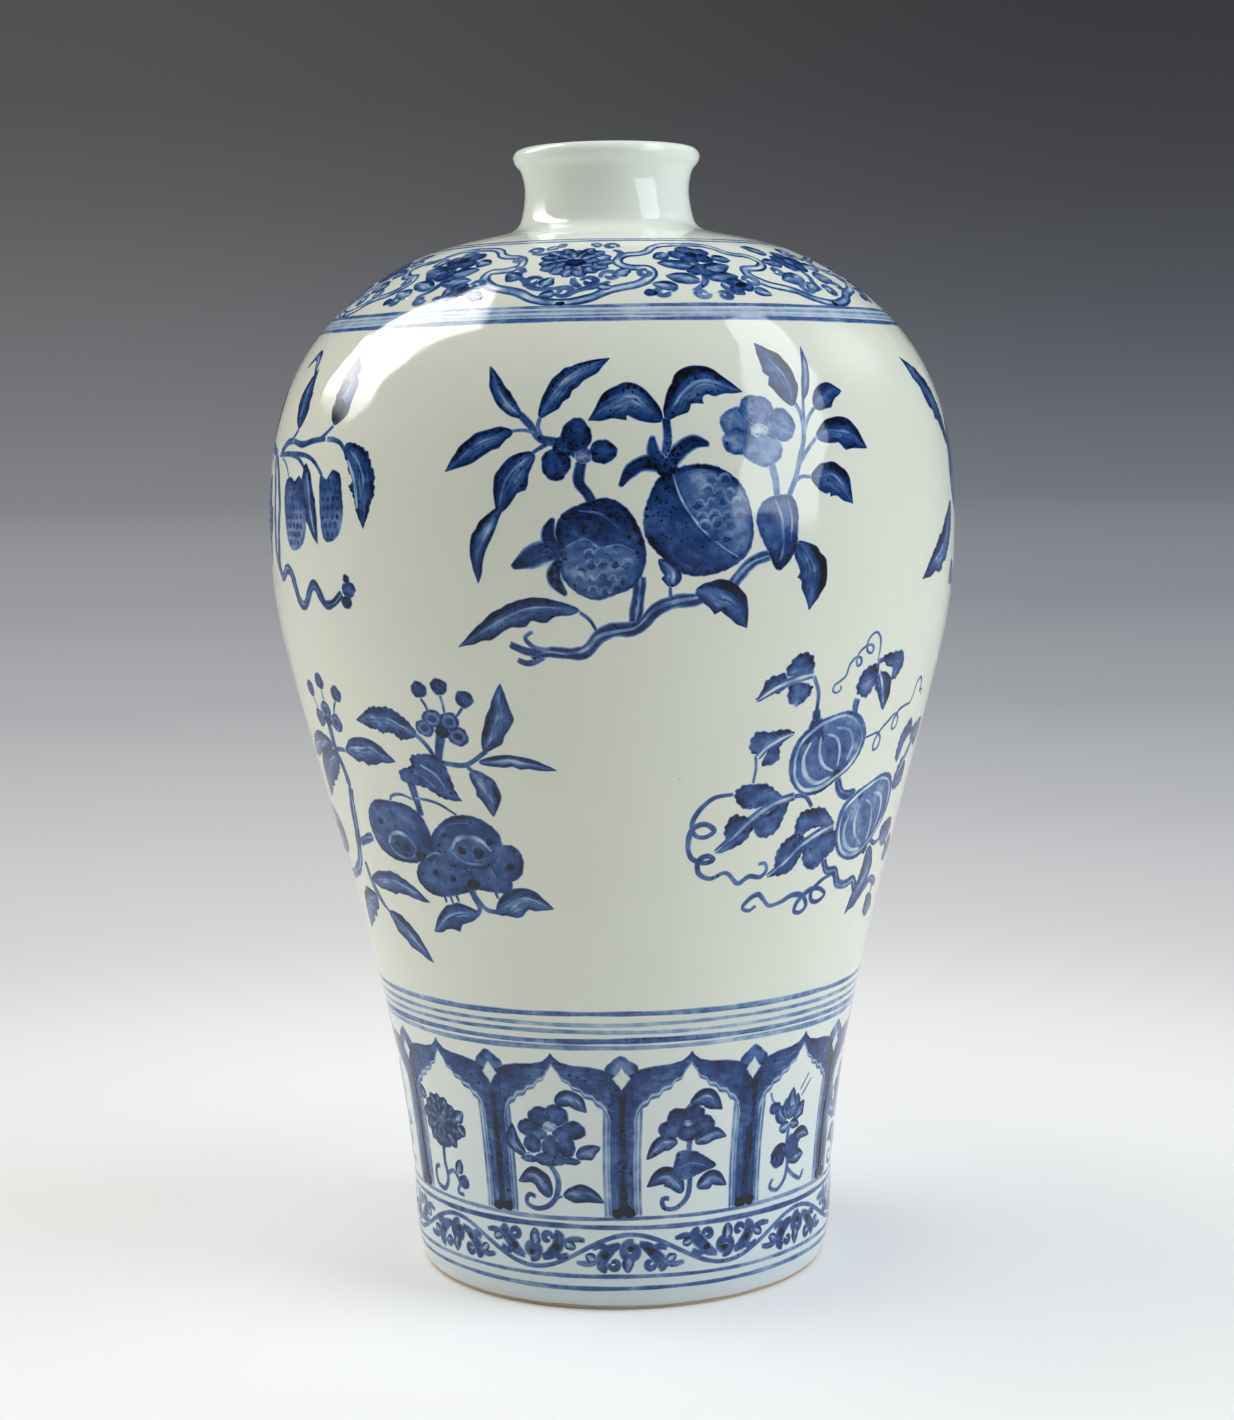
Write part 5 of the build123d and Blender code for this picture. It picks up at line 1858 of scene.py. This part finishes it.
def fadeEdges(data, soft, low, high):
    # a box that is bright in the middle and dim along its edges
    data.use_nodes = True
    tree = data.node_tree
    glow = next(n for n in tree.nodes if n.type == "EMISSION")
    surface = node(tree, "NewGeometry").outputs
    strength = between(tree, sides(tree, surface["Position"])[2], low, high)
    for share in sides(tree, surface["Parametric"])[:2]:
        inside = sums(tree, "MINIMUM", share, sums(tree, "SUBTRACT", 1.0, share))
        strength = sums(tree, "MULTIPLY", strength, between(tree, inside, 0, soft))
    plug(tree, strength, glow.inputs["Strength"])


def makeLamp(name, level=False):
    place, width, height, power, colour = studio[name]
    data = bpy.data.lights.new(name, "AREA")
    data.shape = "RECTANGLE"
    data.size, data.size_y = width, height
    data.energy = power
    data.color = colour
    lamp = bpy.data.objects.new(name, data)
    scene.collection.objects.link(lamp)
    aim = Vector(studio["aim"])
    lean = 0
    if level:
        aim.z = place[2]
        lean = math.radians(studio["windowRoll"])
    lamp.location = place
    turn = (aim - Vector(place)).to_track_quat("-Z", "Y").to_matrix().to_4x4()
    lamp.rotation_euler = (turn @ Matrix.Rotation(lean, 4, "Z")).to_euler()
    lamp.visible_camera = False
    if name in studio["fades"]:
        lamp.visible_diffuse = False
        fadeEdges(data, *studio["fades"][name])
    else:
        lamp.visible_glossy = False


def sideTones(tree, value, tones, side):
    # tones at the left and at the right, and a soft change from the one to the other
    left, right = (toneRamp(tree, value, [(row[0], linear(*row[k])) for row in tones]) for k in (1, 2))
    reach = studio["sideReach"]
    return mixed(tree, between(tree, side, -reach, reach), left, right)


def seenRays(tree):
    rays = node(tree, "LightPath").outputs
    seen = sums(tree, "MAXIMUM", rays["Is Camera Ray"], rays["Is Glossy Ray"])
    return sums(tree, "MAXIMUM", seen, rays["Is Transmission Ray"])


def blended(tree, share, first, second, output):
    blend = node(tree, "MixShader")
    for value, socket in zip((share, first, second), blend.inputs):
        plug(tree, value, socket)
    plug(tree, blend.outputs[0], output.inputs["Surface"])


def makeFloor():
    count = studio["floorSides"]
    size = studio["floorSize"]
    mesh = bpy.data.meshes.new("floor")
    corners = [(size * math.cos(a), size * math.sin(a), 0) for a in np.arange(count) * 2 * math.pi / count]
    mesh.from_pydata(corners, [], [list(range(count))])
    floor = bpy.data.objects.new("floor", mesh)
    scene.collection.objects.link(floor)
    material, tree, shader = startMaterial("paperFloor")
    place = node(tree, "TexCoord").outputs["Object"]
    distance = node(tree, "VectorMath", operation="LENGTH")
    plug(tree, place, distance.inputs[0])
    far = distance.outputs["Value"]
    seen = seenRays(tree)
    # painted shade: as seen, the floor beyond the skirt darkens to the far colour
    outside = sums(tree, "MULTIPLY", between(tree, far, *studio["skirt"]), seen)
    colour = mixed(tree, outside, studio["floorColour"], studio["floorFar"])
    plugAll(tree, shader, Base_Color=colour, Roughness=studio["floorRoughness"])
    side = sums(tree, "DIVIDE", sides(tree, place)[0], sums(tree, "ADD", far, -studio["cameraPlace"][1]))
    # painted light: further out the floor glows in these tones, darker with distance and at the right
    glow = node(tree, "Emission")
    plug(tree, sideTones(tree, far, studio["floorTones"], side), glow.inputs["Color"])
    share = sums(tree, "MULTIPLY", between(tree, far, *studio["glowFade"]), seen)
    output = next(n for n in tree.nodes if n.type == "OUTPUT_MATERIAL")
    blended(tree, share, shader.outputs[0], glow.outputs[0], output)
    mesh.materials.append(material)


def makeWorld():
    world = bpy.data.worlds.new("studioAir")
    scene.world = world
    world.use_nodes = True
    tree = world.node_tree
    tree.nodes.clear()
    across, ahead, upward = sides(tree, node(tree, "TexCoord").outputs["Generated"])
    degrees = sums(tree, "MULTIPLY", sums(tree, "ARCSINE", upward), 180 / math.pi)
    # painted light and shade: the backdrop glows darker upward and at the right
    backdrop = node(tree, "Background")
    plug(tree, sideTones(tree, degrees, studio["backTones"], across), backdrop.inputs["Color"])
    air = node(tree, "Background")
    front = sums(tree, "MULTIPLY", ahead, -1.0)
    roomFill = studio["fill"]
    strength = between(tree, front, *studio["frontFade"], roomFill, roomFill * studio["frontFill"])
    plugAll(tree, air, Color=(1, 1, 1, 1), Strength=strength)
    blended(tree, seenRays(tree), air.outputs[0], backdrop.outputs[0], node(tree, "OutputWorld"))


makeCamera()
for lampName in ("overheadBox", "rightBack", "softTop", "softSide", "softLeft"):
    makeLamp(lampName)
makeLamp("windowPanel", level=True)
makeFloor()
makeWorld()
print("studio ready")
